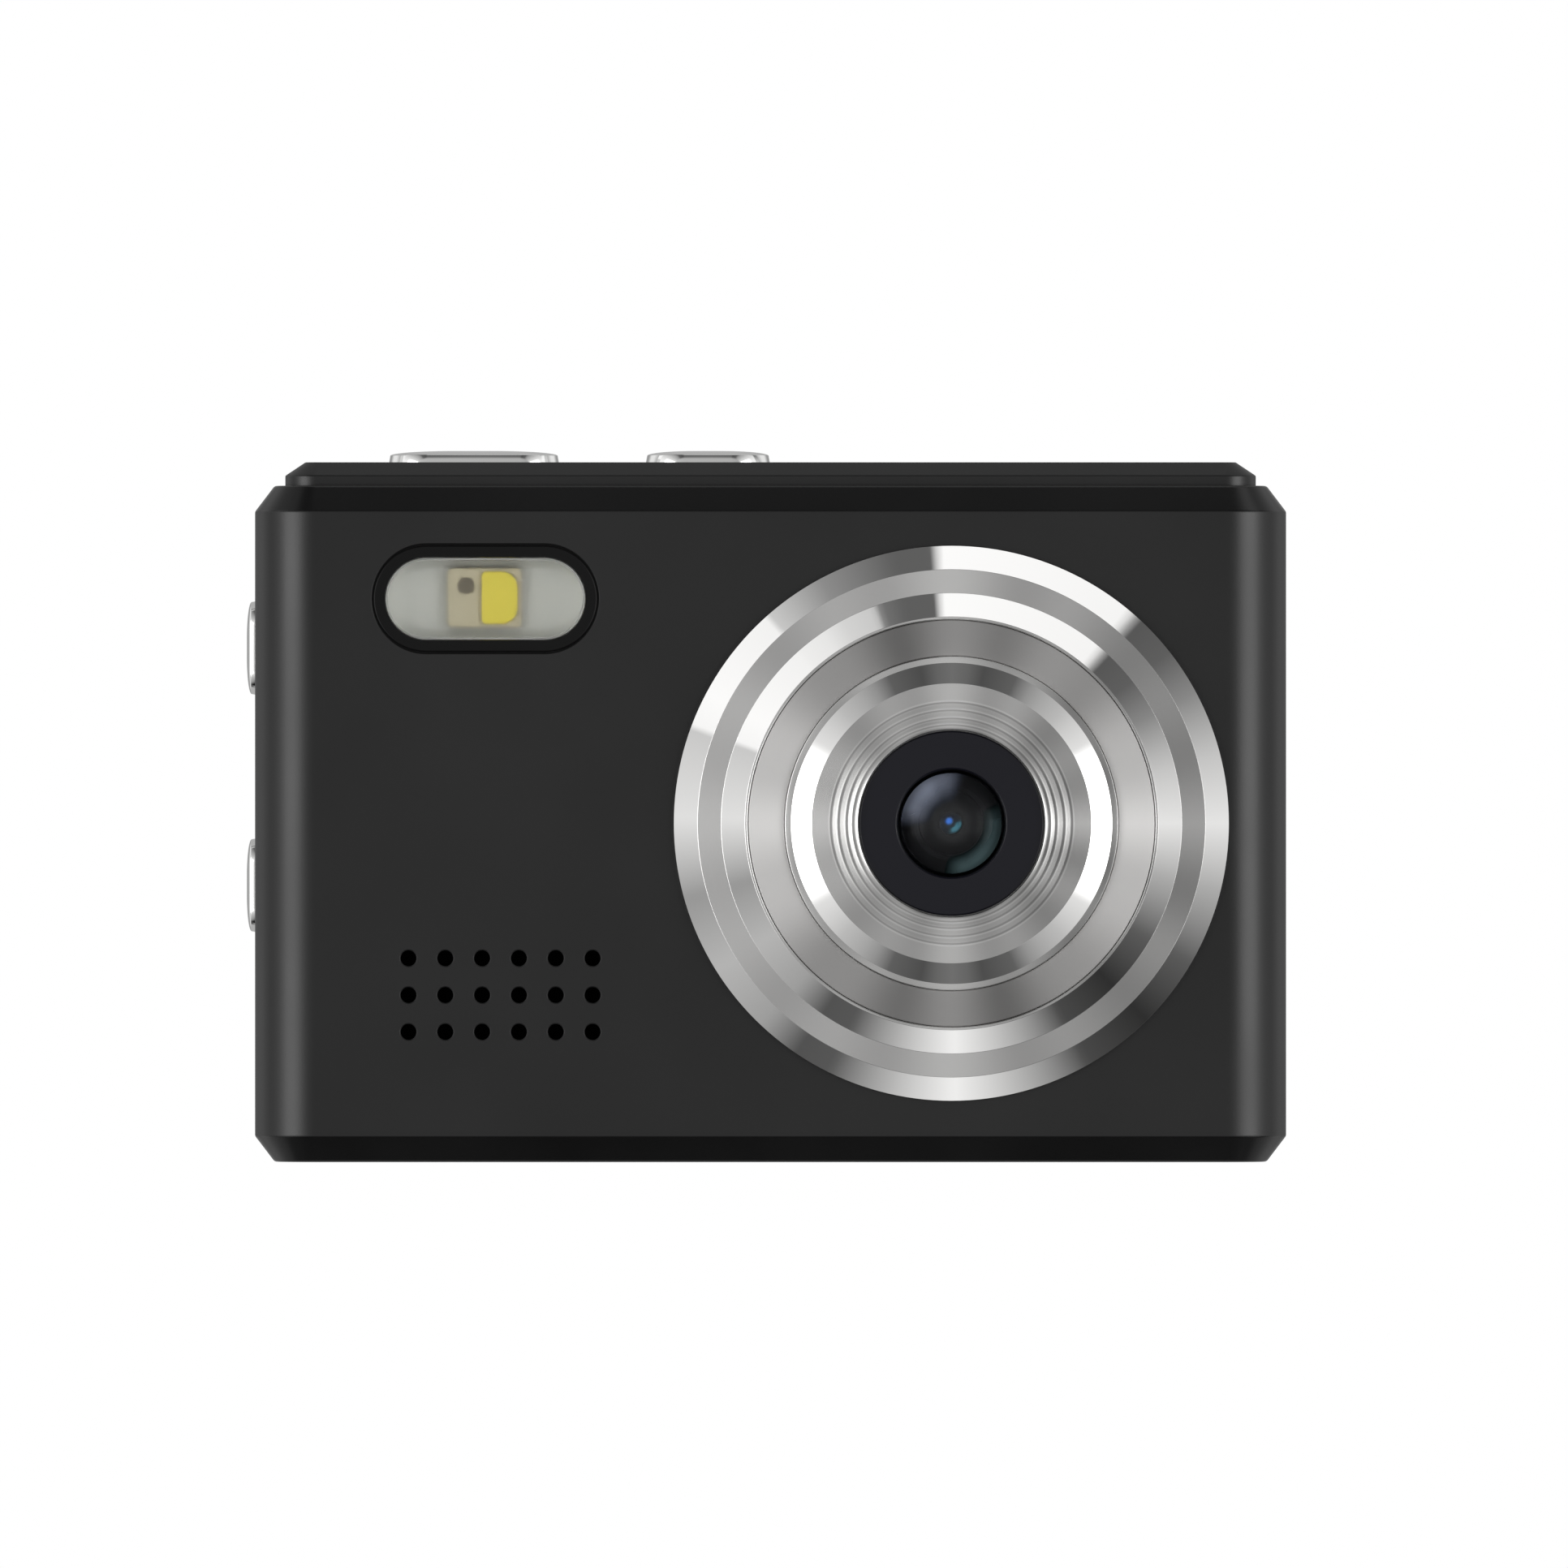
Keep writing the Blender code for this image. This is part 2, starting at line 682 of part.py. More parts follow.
def top_button(name, x, length):
    """A chrome cap with a flange under the top cover and a stem down to its switch."""
    depth = TOP_BUTTON_DEPTH
    cap = loft(
        name,
        [
            (60.2, pill_outline(length + 1.2, depth + 1.2, (x, 0.0))),
            (61.1, pill_outline(length + 1.2, depth + 1.2, (x, 0.0))),
            (61.11, pill_outline(length, depth, (x, 0.0))),
            (TOP_BUTTON_TOP - 0.45, pill_outline(length, depth, (x, 0.0))),
            (TOP_BUTTON_TOP - 0.15, pill_outline(length, depth, (x, 0.0), inset=0.3)),
            (TOP_BUTTON_TOP, pill_outline(length, depth, (x, 0.0), inset=1.2)),
        ],
        "Z",
        chrome(),
    )
    join(cap, tool(block, name + "_stem", (x - 1.2, SWITCH_Y - 1.0, 58.0), (x + 1.2, SWITCH_Y + 1.0, 60.5)))
    return cap


def side_button(name, z):
    """A chrome cap through the left wall, with a flange behind the wall."""
    long, short = SIDE_BUTTON_LENGTH, SIDE_BUTTON_DEPTH
    tip = -SIDE_X - SIDE_BUTTON_TIP

    def section(x, grow=0.0):
        return (x, pill_outline(long + 2 * grow, short + 2 * grow, (SWITCH_Y, z), upright=True))

    return loft(
        name,
        [
            section(-43.5, 0.6), section(-INSIDE_X + GAP, 0.6), section(-INSIDE_X + GAP - 0.01),
            section(tip + 0.38), section(tip + 0.15, -0.3), section(tip, -1.3),
        ],
        "X",
        chrome(),
    )


def side_buttons_and_switches():
    for name, z in SIDE_BUTTON_Z.items():
        side_button(name, z)
        switch = name.replace("button", "switch")
        block(switch, (-42.9, SWITCH_Y - 1.7, z - 3.0), (-40.3, BOARD_Y[0] - GAP, z + 3.0), steel())


def top_buttons_and_switches():
    for name, x, length in (("shutter", SHUTTER_X, SHUTTER_LENGTH), ("power", POWER_X, POWER_LENGTH)):
        top_button(name + "_button", x, length)
        block(name + "_switch", (x - 3.0, SWITCH_Y - 1.7, 54.6), (x + 3.0, BOARD_Y[0] - GAP, 57.4), steel())


def round_key(name, centre, radius, flange, bottom, stem, finish):
    """A round key: a stem, a flange behind the rear wall and a domed cap through it."""
    low, high = bottom
    profile = [
        (0.0, low - 0.6), (stem, low - 0.6), (stem, low), (flange, low), (flange, high),
        (radius, high), (radius, KEY_TOP_Y - 0.25), (radius - 0.3, KEY_TOP_Y), (0.0, KEY_TOP_Y),
    ]
    return lathe(name, profile, "Y", centre, finish, 24)


def rear_keys():
    for name, centre in KEY_PLACES.items():
        round_key(name, centre, KEY_RADIUS, KEY_RADIUS + 0.8, KEY_FLANGE_Y, 1.2, gloss_black())
    round_key("ok_key", (NAV_X, NAV_Z), OK_RADIUS, 5.0, (7.2, 8.0), 2.0, chrome())
    lathe(
        "nav_ring",
        [
            (5.7, 7.0), (NAV_FLANGE_RADIUS, 7.0), (NAV_FLANGE_RADIUS, 7.6), (NAV_RADIUS, 7.6),
            (NAV_RADIUS, KEY_TOP_Y - 0.3), (NAV_RADIUS - 0.35, KEY_TOP_Y),
            (OK_RADIUS + 0.7, KEY_TOP_Y - 0.15), (OK_RADIUS + 0.35, KEY_TOP_Y - 0.5),
            (OK_RADIUS + 0.35, 8.7), (5.7, 8.7),
        ],
        "Y", (NAV_X, NAV_Z), gloss_black(), BARREL_STEPS + 8,
    )
    pad = [(5.7, 6.35), (7.4, 6.35), (7.4, 6.65), (5.7, 6.65)]
    lathe("nav_pad", pad, "Y", (NAV_X, NAV_Z), silicone(), 24)
    lathe(
        "status_light",
        [(0.0, 6.2), (STATUS_RADIUS + 0.6, 6.2), (STATUS_RADIUS + 0.6, 8.3), (STATUS_RADIUS, 8.3),
         (STATUS_RADIUS, 10.0), (0.0, 10.0)],
        "Y", (STATUS_X, STATUS_Z), clear_plastic(), 12,
    )


def key_switches():
    """The key board and the silicone sheet with a dome under each key."""
    block("key_board", (-42.5, KEY_BOARD_Y[0], 7.5), (-17.5, KEY_BOARD_Y[1], 56.5), board_green())
    low = KEY_BOARD_Y[1] + GAP
    sheet = block("key_dome_sheet", (-41.5, low, 8.0), (-18.5, low + 0.35, 51.6), silicone())
    reach = NAV_RADIUS - 2.6
    offsets = ((0, 0), (reach, 0), (-reach, 0), (0, reach), (0, -reach))
    nav_domes = [(NAV_X + dx, NAV_Z + dz) for dx, dz in offsets]
    for index, centre in enumerate([*KEY_PLACES.values(), *nav_domes]):
        bump = [(0.0, low + 0.1), (1.9, low + 0.1), (1.4, low + 0.65), (0.0, low + 0.65)]
        join(sheet, tool(lathe, f"dome_{index}", bump, "Y", centre, steps=12))
    return sheet


# ---------------------------------------------------------------- screen and boards


def screen():
    centre = (SCREEN_X, SCREEN_Z)
    window = rounded_outline(WINDOW_WIDTH, WINDOW_HEIGHT, 1.5, 4, centre)
    prism("lcd_window", window, "Y", *WINDOW_Y, gloss_black())
    panel = rounded_outline(PANEL_WIDTH, PANEL_HEIGHT, 0.6, 2, centre)
    prism("lcd_panel", panel, "Y", *PANEL_Y, steel())
    ribbon_start, ribbon_end = 17.0, 9.6
    upper, lower = PANEL_Y[0] - GAP, BOARD_Y[1] + GAP
    thick = 0.2
    bend = (upper - lower) / 2

    def half_turn(radius):
        middle = (upper + lower) / 2
        angles = [math.radians(180 * step / 8) for step in range(9)]
        return [(middle + radius * math.cos(a), ribbon_end - radius * math.sin(a)) for a in angles]

    outer, inner = half_turn(bend), half_turn(bend - thick)
    outline = [(upper, ribbon_start), *outer, (lower, ribbon_start)]
    outline += [(lower + thick, ribbon_start), *reversed(inner), (upper - thick, ribbon_start)]
    amber = material("flex_amber", (0.45, 0.2, 0.04), 0.4)
    prism("lcd_flex", outline, "X", SCREEN_X - 9, SCREEN_X + 9, amber)


def main_board():
    board = block("main_board", (-42.6, BOARD_Y[0], 7.6), (43.4, BOARD_Y[1], 57.6), board_green())
    chips = [
        ("processor", (-2.0, 3.0, 22.0), (9.0, 4.2, 33.0)),
        ("memory", (26.0, 3.0, 40.0), (36.0, 4.1, 48.0)),
        ("regulator", (30.0, 1.2, 48.5), (34.0, 2.2, 52.5)),
    ]
    for name, low, high in chips:
        join(board, tool(block, name, low, high))
    return board


# ---------------------------------------------------------------- battery, frame and door


def battery_parts():
    (x0, y0, z0), (x1, y1, z1) = BATTERY
    prism(
        "battery",
        rounded_outline(x1 - x0, y1 - y0, 1.4, 4, ((x0 + x1) / 2, (y0 + y1) / 2)), "Z", z0, z1,
        material("battery_wrap", (0.05, 0.12, 0.3), 0.45),
    )
    middle = (x0 + x1) / 2
    contacts = block(
        "battery_contacts", (middle - 7, y0 + 1.2, z1 + 0.6), (middle + 7, y1 - 1.2, z1 + 1.2), brass()
    )
    for offset in (-4.5, 0.0, 4.5):
        leaf = tool(
            block, f"leaf_{offset:.0f}",
            (middle + offset - 0.9, y0 + 2.0, z1 + GAP), (middle + offset + 0.9, y1 - 2.0, z1 + 0.8),
        )
        join(contacts, leaf)


def inner_frame():
    """The chassis: a battery box open at its base, a rail with a collar round the bush, and screw bosses."""
    (x0, y0, z0), (x1, y1, z1) = BATTERY_BOX
    frame = block("inner_frame", *BATTERY_BOX, matt_black())
    cut(frame, tool(block, "battery_space", (x0 + 0.8, y0 + 0.6, 0.0), (x1 - 0.8, y1 - 0.6, z1 - 0.8)))
    rail_low, rail_high = 3.3, 6.0
    edge = INSIDE_X - 0.3
    lumps = [
        ("rail", (x1 - 0.4, -2.2, rail_low), (edge, y1, rail_high)),
        ("right_boss", (40.0, -2.1, rail_low + 0.1), (edge - 0.05, y1 - 0.05, 11.0)),
        ("left_boss", (-edge, -2.1, 6.0), (x0 + 0.4, y1 - 0.05, 11.0)),
        ("right_rear_boss", (33.5, 1.0, 1.9), (38.5, 7.2, 6.5)),
        ("left_rear_boss", (-38.5, 1.7, 1.9 + 0.8), (-33.5, 7.2, 6.5)),
    ]
    for name, low, high in lumps:
        join(frame, tool(block, name, low, high))
    collar = tool(
        rod, "collar", BUSH_RADIUS + 1.8, "Z", rail_low + 0.05, 7.0, (BUSH_X, BUSH_Y), steps=BARREL_STEPS
    )
    join(frame, collar)
    bush = tool(rod, "bush_space", BUSH_RADIUS + 0.2, "Z", 0, 12, (BUSH_X, BUSH_Y), steps=BARREL_STEPS)
    knuckle = tool(
        rod, "knuckle_space", HINGE_KNUCKLE_RADIUS + 0.4, "Y", y0 - 2, y1 + 2, (HINGE_X, HINGE_Z),
        steps=BARREL_STEPS,
    )
    shank = SCREW_SHANK_RADIUS + 0.12
    cut(frame, bush, knuckle)
    for side in (-1, 1):
        low, high = sorted((side * (SIDE_X + 2), side * (SIDE_X - 6.2)))
        cut(frame, tool(rod, f"side_shank_{side + 1}", shank, "X", low, high, (SWITCH_Y, SIDE_SCREW_Z)))
        place_xy = (side * BASE_SCREW_X, BASE_SCREW_Y)
        cut(frame, tool(rod, f"base_shank_{side + 1}", shank, "Z", 0, 6.0, place_xy))
    return frame


def battery_door():
    """A plate with a round knuckle at its hinged end, a snap tab at the other and a nail notch."""
    (x0, y0), (x1, y1) = DOOR_OPENING
    y0, y1, x1 = y0 + DOOR_EDGE_GAP, y1 - DOOR_EDGE_GAP, x1 - DOOR_EDGE_GAP
    door = block("battery_door", (HINGE_X, y0, DOOR_BOTTOM), (x1, y1, DOOR_TOP), case_black())
    knuckle = tool(
        rod, "knuckle", HINGE_KNUCKLE_RADIUS, "Y", y0 + 0.02, y1 - 0.02, (HINGE_X, HINGE_Z), steps=BARREL_STEPS
    )
    tab = tool(block, "snap_tab", (x1 - 2.2, y0 + 2.0, DOOR_TOP - 0.4), (x1 - 1.5, y1 - 2.0, 3.1))
    join(door, knuckle, tab)
    bore = tool(rod, "hinge_bore", HINGE_PIN_RADIUS + 0.09, "Y", y0 - 2, y1 + 2, (HINGE_X, HINGE_Z))
    notch = tool(
        block, "nail_notch",
        (x1 - 1.6, (y0 + y1) / 2 - 2.4, -1.0), (x1 - 0.7, (y0 + y1) / 2 + 2.4, DOOR_BOTTOM + 0.5),
    )
    cut(door, bore, notch)
    rod("door_hinge_pin", HINGE_PIN_RADIUS, "Y", y0 - 1.0, y1 + 1.0, (HINGE_X, HINGE_Z), steel())
    return door


# ---------------------------------------------------------------- sockets, bush, strap bar, screws


def usb_port():
    centre = (USB_Y, USB_Z)
    outer = pill_outline(USB_LENGTH, USB_DEPTH, centre, upright=True)
    shell = prism("usb_port", outer, "X", 37.6, SIDE_X - 0.8, steel())
    inside = pill_outline(USB_LENGTH - 0.6, USB_DEPTH - 0.6, centre, upright=True)
    mouth = tool(prism, "usb_mouth", inside, "X", 38.6, 50)
    cut(shell, mouth)
    tongue = tool(
        block, "usb_tongue", (38.2, USB_Y - 0.35, USB_Z - 3.3), (SIDE_X - 1.4, USB_Y + 0.35, USB_Z + 3.3)
    )
    join(shell, tongue)
    return shell


def card_parts():
    half = CARD_WIDTH / 2
    socket = block(
        "card_socket",
        (29.5, CARD_Y - 0.85, CARD_Z - half - 1.4), (INSIDE_X - 0.3, BOARD_Y[0] - GAP, CARD_Z + half + 1.4),
        steel(),
    )
    slot_low = (CARD_END_X - CARD_LENGTH - 0.9, CARD_Y - 0.5, CARD_Z - half - 0.15)
    cut(socket, tool(block, "card_slot", slot_low, (50, CARD_Y + 0.5, CARD_Z + half + 0.15)))
    start = CARD_END_X - CARD_LENGTH
    # A microSD card: one long side steps out near the contacts.
    outline = [
        (start, CARD_Z - half), (CARD_END_X, CARD_Z - half), (CARD_END_X, CARD_Z + half),
        (start + 6.4, CARD_Z + half), (start + 5.0, CARD_Z + half - 1.4), (start, CARD_Z + half - 1.4),
    ]
    thick = CARD_THICKNESS / 2
    mesh_finish = material("card_black", (0.03, 0.03, 0.035), 0.4)
    prism("memory_card", outline, "Y", CARD_Y - thick, CARD_Y + thick, mesh_finish)


def tripod_bush():
    flange = BUSH_RADIUS + 1.0
    profile = [
        (BUSH_BORE_RADIUS + 0.3, 0.02), (BUSH_RADIUS, 0.02), (BUSH_RADIUS, WALL + GAP), (flange, WALL + GAP),
        (flange, WALL + 1.4), (BUSH_RADIUS, WALL + 1.4), (BUSH_RADIUS, 6.6),
        (BUSH_BORE_RADIUS, 6.6), (BUSH_BORE_RADIUS, 0.4),
    ]
    return lathe("tripod_bush", profile, "Z", (BUSH_X, BUSH_Y), brass(), BARREL_STEPS)


def screw(name, axis, start, direction, centre):
    """A countersunk screw with a cross recess. Its head is a little below the case's face."""
    head, shank = SCREW_HEAD_RADIUS, SCREW_SHANK_RADIUS
    top = start + 0.1 * direction
    profile = [
        (0.0, top), (head, top), (head, top + 0.15 * direction), (shank, top + 0.95 * direction),
        (shank, top + (SCREW_LENGTH - 0.8) * direction), (0.0, top + SCREW_LENGTH * direction),
    ]
    made = lathe(name, profile, axis, centre, steel(), SMALL_STEPS)
    low, high = sorted((start - direction, start + 0.6 * direction))
    for arm in ((0.95, 0.2), (0.2, 0.95)):
        outline = rounded_outline(2 * arm[0], 2 * arm[1], 0.05, 1, centre)
        cut(made, tool(prism, f"{name}_arm_{arm[0]}", outline, axis, low, high))
    return made


def small_hardware():
    rod("strap_bar", 0.6, "Z", STRAP_Z - 3.4, STRAP_Z + 3.4, (44.3, STRAP_Y), steel())
    screw("case_screw_1", "Z", 0.0, 1, (-BASE_SCREW_X, BASE_SCREW_Y))
    screw("case_screw_2", "Z", 0.0, 1, (BASE_SCREW_X, BASE_SCREW_Y))
    screw("case_screw_3", "X", -SIDE_X, 1, (SWITCH_Y, SIDE_SCREW_Z))
    screw("case_screw_4", "X", SIDE_X, -1, (SWITCH_Y, SIDE_SCREW_Z))
    rod("microphone", 1.9, "Z", 59.4, COVER_TOP - COVER_SKIN - GAP, (LENS_X, 0.0), steel(), 20)


def main():
    for old in list(bpy.data.objects):
        bpy.data.objects.remove(old)
    cavity, opening = case_cavity(), plug_opening()
    front_shell(cavity, opening)
    rear_shell(cavity, opening)
    top_cover()
    lens_rings()
    lens_optics()
    flash()
    loudspeaker()
    top_buttons_and_switches()
    side_buttons_and_switches()
    rear_keys()
    key_switches()
    screen()
    main_board()
    battery_parts()
    inner_frame()
    battery_door()
    usb_port()
    card_parts()
    tripod_bush()
    small_hardware()


main()
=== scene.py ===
"""The looks of a compact digital camera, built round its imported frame.

The frame's axes are the camera's own: it stands on its base, +Z is up, the lens looks along -Y
and +X is to the right of somebody who faces the lens. Sizes here are in millimetres, and solid()
turns them into metres. Places come from the frame's boxes.
"""

import math

import bmesh
import bpy
from mathutils import Matrix, Vector

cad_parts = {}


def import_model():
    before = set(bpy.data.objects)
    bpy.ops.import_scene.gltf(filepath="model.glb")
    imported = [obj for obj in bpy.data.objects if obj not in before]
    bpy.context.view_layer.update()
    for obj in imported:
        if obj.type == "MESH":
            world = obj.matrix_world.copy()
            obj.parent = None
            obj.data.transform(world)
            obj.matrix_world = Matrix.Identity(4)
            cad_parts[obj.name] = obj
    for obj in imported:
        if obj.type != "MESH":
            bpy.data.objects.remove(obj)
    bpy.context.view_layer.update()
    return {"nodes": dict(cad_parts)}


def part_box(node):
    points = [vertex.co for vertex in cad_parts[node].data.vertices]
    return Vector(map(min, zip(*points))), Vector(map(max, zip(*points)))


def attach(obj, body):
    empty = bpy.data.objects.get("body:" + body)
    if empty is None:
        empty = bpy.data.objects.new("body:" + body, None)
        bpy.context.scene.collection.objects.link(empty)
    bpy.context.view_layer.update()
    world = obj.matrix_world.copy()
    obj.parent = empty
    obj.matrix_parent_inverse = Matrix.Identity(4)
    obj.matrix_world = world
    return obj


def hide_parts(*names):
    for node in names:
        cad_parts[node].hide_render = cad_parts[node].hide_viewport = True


MM = 0.001
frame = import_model()
NODES = frame["nodes"]


def span(node):
    """The lowest and highest corner of a frame node, in millimetres."""
    low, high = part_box(node)
    return low / MM, high / MM


def middle(node):
    low, high = span(node)
    return (low + high) / 2


def size(node):
    low, high = span(node)
    return high - low


def flat(vector, axis):
    """The two parts of a vector across an axis."""
    return {"X": (vector.y, vector.z), "Y": (vector.x, vector.z), "Z": (vector.x, vector.y)}[axis]


# ---- driving places

CASE_LOW, CASE_HIGH = span("front_shell")
SIDE_X = CASE_HIGH.x
FRONT_Y = CASE_LOW.y
PARTING_Y = CASE_HIGH.y
REAR_START, REAR_Y = (corner.y for corner in span("rear_shell"))
SHOULDER = CASE_HIGH.z
CORNER_RADIUS = 5.5
CHAMFER_WIDTH, CHAMFER_HEIGHT = 1.75, 2.3
CREASE_RADIUS = 0.45
WALL = 1.6
PLUG_HALF = (36.2, 5.4)
FAR = 2 * SIDE_X  # further out than any part

# The outside walls, each as (axis, place along it, way into the case).
FRONT = ("Y", FRONT_Y, 1)
REAR = ("Y", REAR_Y, -1)
LEFT = ("X", -SIDE_X, 1)
RIGHT = ("X", SIDE_X, -1)
BASE = ("Z", 0.0, 1)
TOP = ("Z", span("top_cover")[1].z, -1)

LENS = middle("lens_outer_ring")
LENS_HOLE_RADIUS = 21.0
FLASH = middle("flash_bezel")
FLASH_RIM = 1.15
GRILLE = middle("speaker_frame")
GRILLE_PITCH = 3.28
GRILLE_COLUMNS, GRILLE_ROWS = 6, 3
GRILLE_HOLE_RADIUS = 0.7

# How much wider than its part an opening is, and a bright button's flange than its cap.
FLASH_GAP, BUTTON_GAP, USB_GAP, WINDOW_GAP = 0.2, 0.4, 0.5, 0.3
BUTTON_FLANGE = 1.2

# The dished ring's floor at its inner and its outer edge, each as (radius, height in front of the
# case), and the radii of the grooves in it and how deep they are.
DISH_INNER, DISH_OUTER = (8.35, 3.45), (12.45, 4.05)
GROOVES = (10.74, 10.05, 9.33, 8.75)
GROOVE_DEPTH = 0.012

# How finely whole turns and round corners are drawn, and the angle from which an edge looks sharp.
RING_STEPS = 192
ROUND_STEPS = 64
CORNER_STEPS = 16
SHARP_ANGLE = math.radians(28)


# ---- building blocks


def place(u, v, w, axis):
    """A point from its place (u, v) in a cross-section and its distance w along the axis."""
    return {"X": (w, u, v), "Y": (u, w, v), "Z": (u, v, w)}[axis]


def solid(name, mesh, *finishes):
    """Turns a bmesh in millimetres into an object in metres, with the finishes of those short names."""
    bmesh.ops.recalc_face_normals(mesh, faces=mesh.faces)
    mesh.transform(Matrix.Scale(MM, 4))
    data = bpy.data.meshes.new(name)
    mesh.to_mesh(data)
    mesh.free()
    data.shade_smooth()
    data.set_sharp_from_angle(angle=SHARP_ANGLE)
    for finish in finishes:
        data.materials.append(FINISH[finish])
    made = bpy.data.objects.new(name, data)
    bpy.context.scene.collection.objects.link(made)
    return made


def rounded_outline(width, height, radius, centre=(0.0, 0.0), steps=CORNER_STEPS):
    """The points of a rectangle with round corners, anticlockwise."""
    points = []
    for corner, (sx, sy) in enumerate(((1, 1), (-1, 1), (-1, -1), (1, -1))):
        cx = centre[0] + sx * (width / 2 - radius)
        cy = centre[1] + sy * (height / 2 - radius)
        for step in range(steps + 1):
            angle = math.radians(90 * (corner + step / steps))
            points.append((cx + radius * math.cos(angle), cy + radius * math.sin(angle)))
    return points


def pill(width, height, centre, grow=0.0, steps=CORNER_STEPS):
    """A slot shape: two half circles and the straight sides between them."""
    w, h = width + 2 * grow, height + 2 * grow
    return rounded_outline(w, h, 0.4985 * min(w, h), centre, steps)


def circle(radius, centre=(0.0, 0.0), steps=ROUND_STEPS):
    angles = [2 * math.pi * step / steps for step in range(steps)]
    return [(centre[0] + radius * math.cos(a), centre[1] + radius * math.sin(a)) for a in angles]


def quarter_turn(steps=4):
    """The angles from 0 to 90 degrees."""
    return [math.radians(90 * step / steps) for step in range(steps + 1)]


def fillet(points, radius, steps=3, closed=False):
    """The same line with its corners rounded. A corner takes at most 45% of its shorter side."""
    points = [Vector(p) for p in points]
    count = len(points)
    made = []
    for index, corner in enumerate(points):
        if not closed and index in (0, count - 1):
            made.append(corner)
            continue
        before, after = points[index - 1] - corner, points[(index + 1) % count] - corner
        turn = before.angle(after)
        if turn > math.radians(176):
            made.append(corner)
            continue
        reach = min(radius / math.tan(turn / 2), 0.45 * before.length, 0.45 * after.length)
        start, end = corner + before.normalized() * reach, corner + after.normalized() * reach
        for step in range(steps + 1):
            t = step / steps
            made.append((1 - t) ** 2 * start + 2 * t * (1 - t) * corner + t * t * end)
    return [tuple(p) for p in made]


def loft(name, sections, axis, *finishes):
    """A solid through sections, each (distance along the axis, outline), capped at both ends."""
    mesh = bmesh.new()
    rows = [[mesh.verts.new(place(u, v, w, axis)) for u, v in outline] for w, outline in sections]
    for low, high in zip(rows, rows[1:]):
        for a, b, c, d in zip(low, low[1:] + low[:1], high[1:] + high[:1], high):
            mesh.faces.new((a, b, c, d))
    mesh.faces.new(rows[0])
    mesh.faces.new(rows[-1])
    return solid(name, mesh, *finishes)


def prism(name, outline, axis, start, end, *finishes, edge=0.0):
    """An outline extruded along an axis, with its end edges rounded by shrinking the outline."""
    if not edge:
        return loft(name, [(start, outline), (end, outline)], axis, *finishes)
    centre = [sum(p[i] for p in outline) / len(outline) for i in (0, 1)]
    half = [max(abs(p[i] - centre[i]) for p in outline) for i in (0, 1)]
    way = 1 if end > start else -1

    def section(place_at, inward, angle):
        scale = [1 - edge * (1 - math.cos(angle)) / half[i] for i in (0, 1)]
        shrunk = [tuple(centre[i] + (p[i] - centre[i]) * scale[i] for i in (0, 1)) for p in outline]
        return place_at + inward * edge * (1 - math.sin(angle)), shrunk

    low = [section(start, way, angle) for angle in reversed(quarter_turn())]
    high = [section(end, -way, angle) for angle in quarter_turn()]
    return loft(name, low + high, axis, *finishes)


def block(name, low, high, *finishes, edge=0.0):
    """A box between two corners."""
    width, depth = high[0] - low[0], high[1] - low[1]
    centre = ((low[0] + high[0]) / 2, (low[1] + high[1]) / 2)
    outline = rounded_outline(width, depth, max(edge, 0.01), steps=3 if edge else 1)
    moved = [(u + centre[0], v + centre[1]) for u, v in outline]
    return prism(name, moved, "Z", low[2], high[2], *finishes, edge=edge)


def lathe(name, profile, axis, centre, *finishes, steps=RING_STEPS):
    """A closed profile of (radius, distance along the axis) spun about that axis."""
    mesh = bmesh.new()
    rings = []
    for radius, distance in profile:
        if radius < 1e-6:
            rings.append([mesh.verts.new(place(*centre, distance, axis))])
            continue
        points = circle(radius, centre, steps)
        rings.append([mesh.verts.new(place(u, v, distance, axis)) for u, v in points])
    open_ended = len(rings[0]) == 1 and len(rings[-1]) == 1
    pairs = list(zip(rings, rings[1:])) + ([] if open_ended else [(rings[-1], rings[0])])
    for low, high in pairs:
        for step in range(steps):
            after = (step + 1) % steps
            corners = ((low, step), (low, after), (high, after), (high, step))
            unique = list(dict.fromkeys(ring[index % len(ring)] for ring, index in corners))
            if len(unique) > 2:
                mesh.faces.new(unique)
    return solid(name, mesh, *finishes)


def carve(target, *tools, operation="DIFFERENCE"):
    """Cuts the tools out of the target, or joins them to it, and removes them."""
    for tool in tools:
        modifier = target.modifiers.new(tool.name, "BOOLEAN")
        modifier.operation = operation
        modifier.object = tool
        modifier.solver = "EXACT"
    graph = bpy.context.evaluated_depsgraph_get()
    cut = bpy.data.meshes.new_from_object(target.evaluated_get(graph), depsgraph=graph)
    target.modifiers.clear()
    target.data = cut
    for tool in tools:
        bpy.data.objects.remove(tool)
    target.data.shade_smooth()
    target.data.set_sharp_from_angle(angle=SHARP_ANGLE)
    return target


def soften(target, width):
    """Rounds a mesh's sharp edges a little."""
    weld = target.modifiers.new("weld", "WELD")
    weld.merge_threshold = 1e-6
    bevel = target.modifiers.new("edges", "BEVEL")
    bevel.width = width * MM
    bevel.segments = 2
    bevel.limit_method = "ANGLE"
    bevel.angle_limit = math.radians(35)
    bevel.harden_normals = True


def even_normals(target):
    """Keeps the shading of flat faces flat up to their rounded edges."""
    weighted = target.modifiers.new("normals", "WEIGHTED_NORMAL")
    weighted.keep_sharp = True
    weighted.weight = 80
    return target


def use(piece, body, node):
    """Rides the piece on its body, in place of a frame node if one is named."""
    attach(piece, body)
    if node:
        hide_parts(node)
    return piece


# ---- materials


